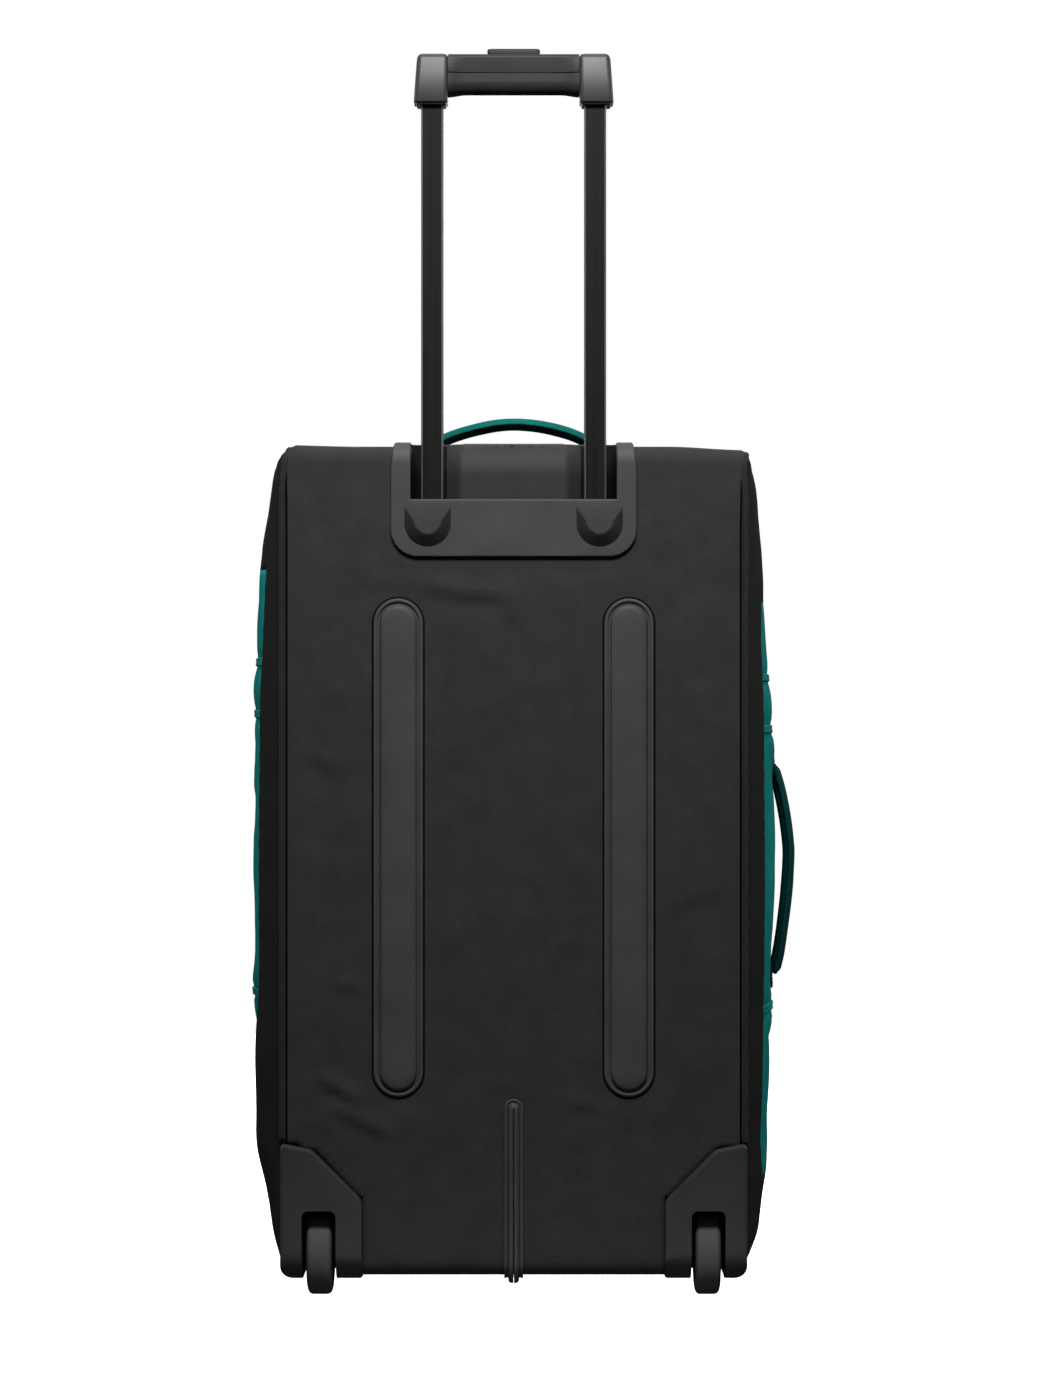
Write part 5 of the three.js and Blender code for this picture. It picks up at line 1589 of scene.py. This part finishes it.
def sewn_tab(name, stands_for, u_range, v_range, surface, place, look):
    """A flat webbing tab that lies on the cloth, with a stitched border and cross."""
    bm = bmesh.new()
    us, vs = spread(list(u_range), 3), spread(list(v_range), 3)
    for vert in bmesh.ops.create_grid(bm, x_segments=len(us) - 1, y_segments=len(vs) - 1, size=1)["verts"]:
        i = round((vert.co.x + 1) / 2 * (len(us) - 1))
        j = round((vert.co.y + 1) / 2 * (len(vs) - 1))
        vert.co = Vector((us[i], vs[j], 0))
    raise_faces(bm, bm.faces[:], TAB_THICK)
    bmesh.ops.recalc_face_normals(bm, faces=bm.faces)
    round_edges(bm, sharp_edges(bm, 60), 0.6, 2)
    heights = {}
    for vert in bm.verts:
        u, v, lift = vert.co
        key = (round(u, 1), round(v, 1))
        if key not in heights:
            heights[key] = surface(u, v)
        vert.co = place(u, v, heights[key] + lift)
    bmesh.ops.recalc_face_normals(bm, faces=bm.faces)
    finish_piece(name, bm, look, stands_for=stands_for, sharp=60)

    thread = bmesh.new()
    u0, u1 = u_range[0] + STITCH_BORDER, u_range[1] - STITCH_BORDER
    v0, v1 = v_range[0] + STITCH_BORDER, v_range[1] - STITCH_BORDER
    out = place(0, 0, 1) - place(0, 0, 0)
    for a, b in (
        ((u0, v0), (u1, v0)), ((u1, v0), (u1, v1)), ((u1, v1), (u0, v1)), ((u0, v1), (u0, v0)),
        ((u0, v0), (u1, v1)), ((u0, v1), (u1, v0)),
    ):
        run = math.hypot(b[0] - a[0], b[1] - a[1])
        count = max(1, int(run / STITCH_PITCH))
        for n in range(count):
            stitch = []
            for along, lift in ((0.14, STITCH_SUNK), (0.5, STITCH_PROUD), (0.86, STITCH_SUNK)):
                share = (n + along) / count
                u, v = a[0] + (b[0] - a[0]) * share, a[1] + (b[1] - a[1]) * share
                stitch.append(place(u, v, surface(u, v) + lift))
            tube_along(thread, stitch, STITCH_THREAD, out, sides=6)
    finish_piece(name + "_stitches", thread, TEAL_THREAD, stands_for=stands_for)


def on_top(u, v, height):
    return Vector((u, v, height))


def on_side(u, v, height):
    return Vector((height, u, v))


TAB_DEPTH = (HANDLE_Y - 16, HANDLE_Y + 16)
for side_name, side in SIDES:
    sewn_tab(
        "top_handle_tab_" + side_name, "top_carry_handle", sorted((side * 76, side * 114)), TAB_DEPTH,
        top_surface_z, on_top, TEAL_TOP_STRAP,
    )
for end_name, heights in (("lower", (225, 243)), ("upper", (396, 413))):
    sewn_tab(
        "side_handle_tab_" + end_name, "side_carry_handle", TAB_DEPTH, heights, side_surface_x, on_side,
        TEAL_SIDE_STRAP_SHADE,
    )

# Hidden metal keeps its CAD shape
for hidden, look in (("axle", DARK_STEEL), ("guide_sleeve", STEEL)):
    for side_name in ("left", "right"):
        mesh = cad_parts[f"{hidden}_{side_name}"].data
        mesh.materials.clear()
        mesh.materials.append(look)


# Studio

camera_data = bpy.data.cameras.new("camera")
camera_data.sensor_fit = "VERTICAL"
camera_data.sensor_height = 24
# In the photo's own pixels, half the frame is 700 high and the camera stands 3,380 off.
FRAME_HALF, CAMERA_REACH = 700, 3380
camera_data.lens = camera_data.sensor_height / 2 * CAMERA_REACH / FRAME_HALF
camera = bpy.data.objects.new("camera", camera_data)
bpy.context.scene.collection.objects.link(camera)
camera.location = (0.0003, BACK_Y - 2.576, 0.457)
camera.rotation_euler = (math.radians(90), 0, 0)
bpy.context.scene.camera = camera
bpy.context.scene.view_settings.view_transform = "Standard"

world = bpy.data.worlds.new("studio")
world.use_nodes = True
tree = world.node_tree
room = tree.nodes["Background"]
room.inputs["Color"].default_value = (1, 1, 1, 1)
room.inputs["Strength"].default_value = 0.06
backdrop = tree.nodes.new("ShaderNodeBackground")
backdrop.inputs["Color"].default_value = (1, 1, 1, 1)
backdrop.inputs["Strength"].default_value = 1.0
seen = tree.nodes.new("ShaderNodeLightPath")
mixed = tree.nodes.new("ShaderNodeMixShader")
tree.links.new(seen.outputs["Is Camera Ray"], mixed.inputs["Fac"])
tree.links.new(room.outputs["Background"], mixed.inputs[1])
tree.links.new(backdrop.outputs["Background"], mixed.inputs[2])
tree.links.new(mixed.outputs["Shader"], tree.nodes["World Output"].inputs["Surface"])
bpy.context.scene.world = world


def soft_light(name, place, aim, width, height, power):
    light = bpy.data.lights.new(name, "AREA")
    light.shape = "RECTANGLE"
    light.size = width
    light.size_y = height
    light.energy = power
    lamp = bpy.data.objects.new(name, light)
    bpy.context.scene.collection.objects.link(lamp)
    lamp.location = place
    lamp.rotation_euler = (Vector(aim) - Vector(place)).to_track_quat("-Z", "Y").to_euler()
    lamp.visible_camera = False
    return lamp


soft_light("rear_softbox", (0.0, -1.0, 1.5), (0, BACK_Y, 0.45), 0.6, 0.35, 38)
soft_light("low_softbox", (0.0, BACK_Y - 0.12, 0.004), (0, BACK_Y + 0.03, 0.03), 0.42, 0.03, 0.13)
soft_light("top_softbox", (0.0, 0.3, 2.3), (0, 0, 0.6), 1.2, 1.0, 12)
soft_light("left_softbox", (-1.4, 0.5, 0.9), (0, 0, 0.4), 1.3, 1.0, 10)
soft_light("right_softbox", (1.4, 0.5, 0.9), (0, 0, 0.4), 1.3, 1.0, 13)
soft_light("front_softbox", (0.0, 1.6, 1.2), (0, 0, 0.4), 1.0, 0.9, 18)
floor_light = soft_light("floor_softbox", (0.0, 0.0, 3.0), (0, 0, 0), 4.0, 4.0, 340)
floor_light.data.use_shadow = False

floor_shape = bmesh.new()
bmesh.ops.create_grid(floor_shape, size=1.9, x_segments=8, y_segments=8)
floor_mesh = bpy.data.meshes.new("floor")
floor_shape.to_mesh(floor_mesh)
floor_shape.free()
floor_finish, floor_tree, floor_shader = new_finish("pale_floor")
floor_place = node(floor_tree, "ShaderNodeTexCoord").outputs["Object"]
floor_cloud = node(
    floor_tree, "ShaderNodeTexNoise", None, Vector=floor_place, Scale=3, Detail=4, Roughness=0.5,
)
floor_shade = between(floor_tree, floor_cloud.outputs["Fac"], (0.86, 0.86, 0.86), (0.9, 0.9, 0.9))
floor_tree.links.new(floor_shade, floor_shader.inputs["Base Color"])
floor_shader.inputs["Roughness"].default_value = 0.6
floor_mesh.materials.append(floor_finish)
floor = bpy.data.objects.new("floor", floor_mesh)
bpy.context.scene.collection.objects.link(floor)
floor.visible_diffuse = False
floor.visible_glossy = False
lit_floor = bpy.data.collections.new("lit_floor")
lit_floor.objects.link(floor)
floor_light.light_linking.receiver_collection = lit_floor
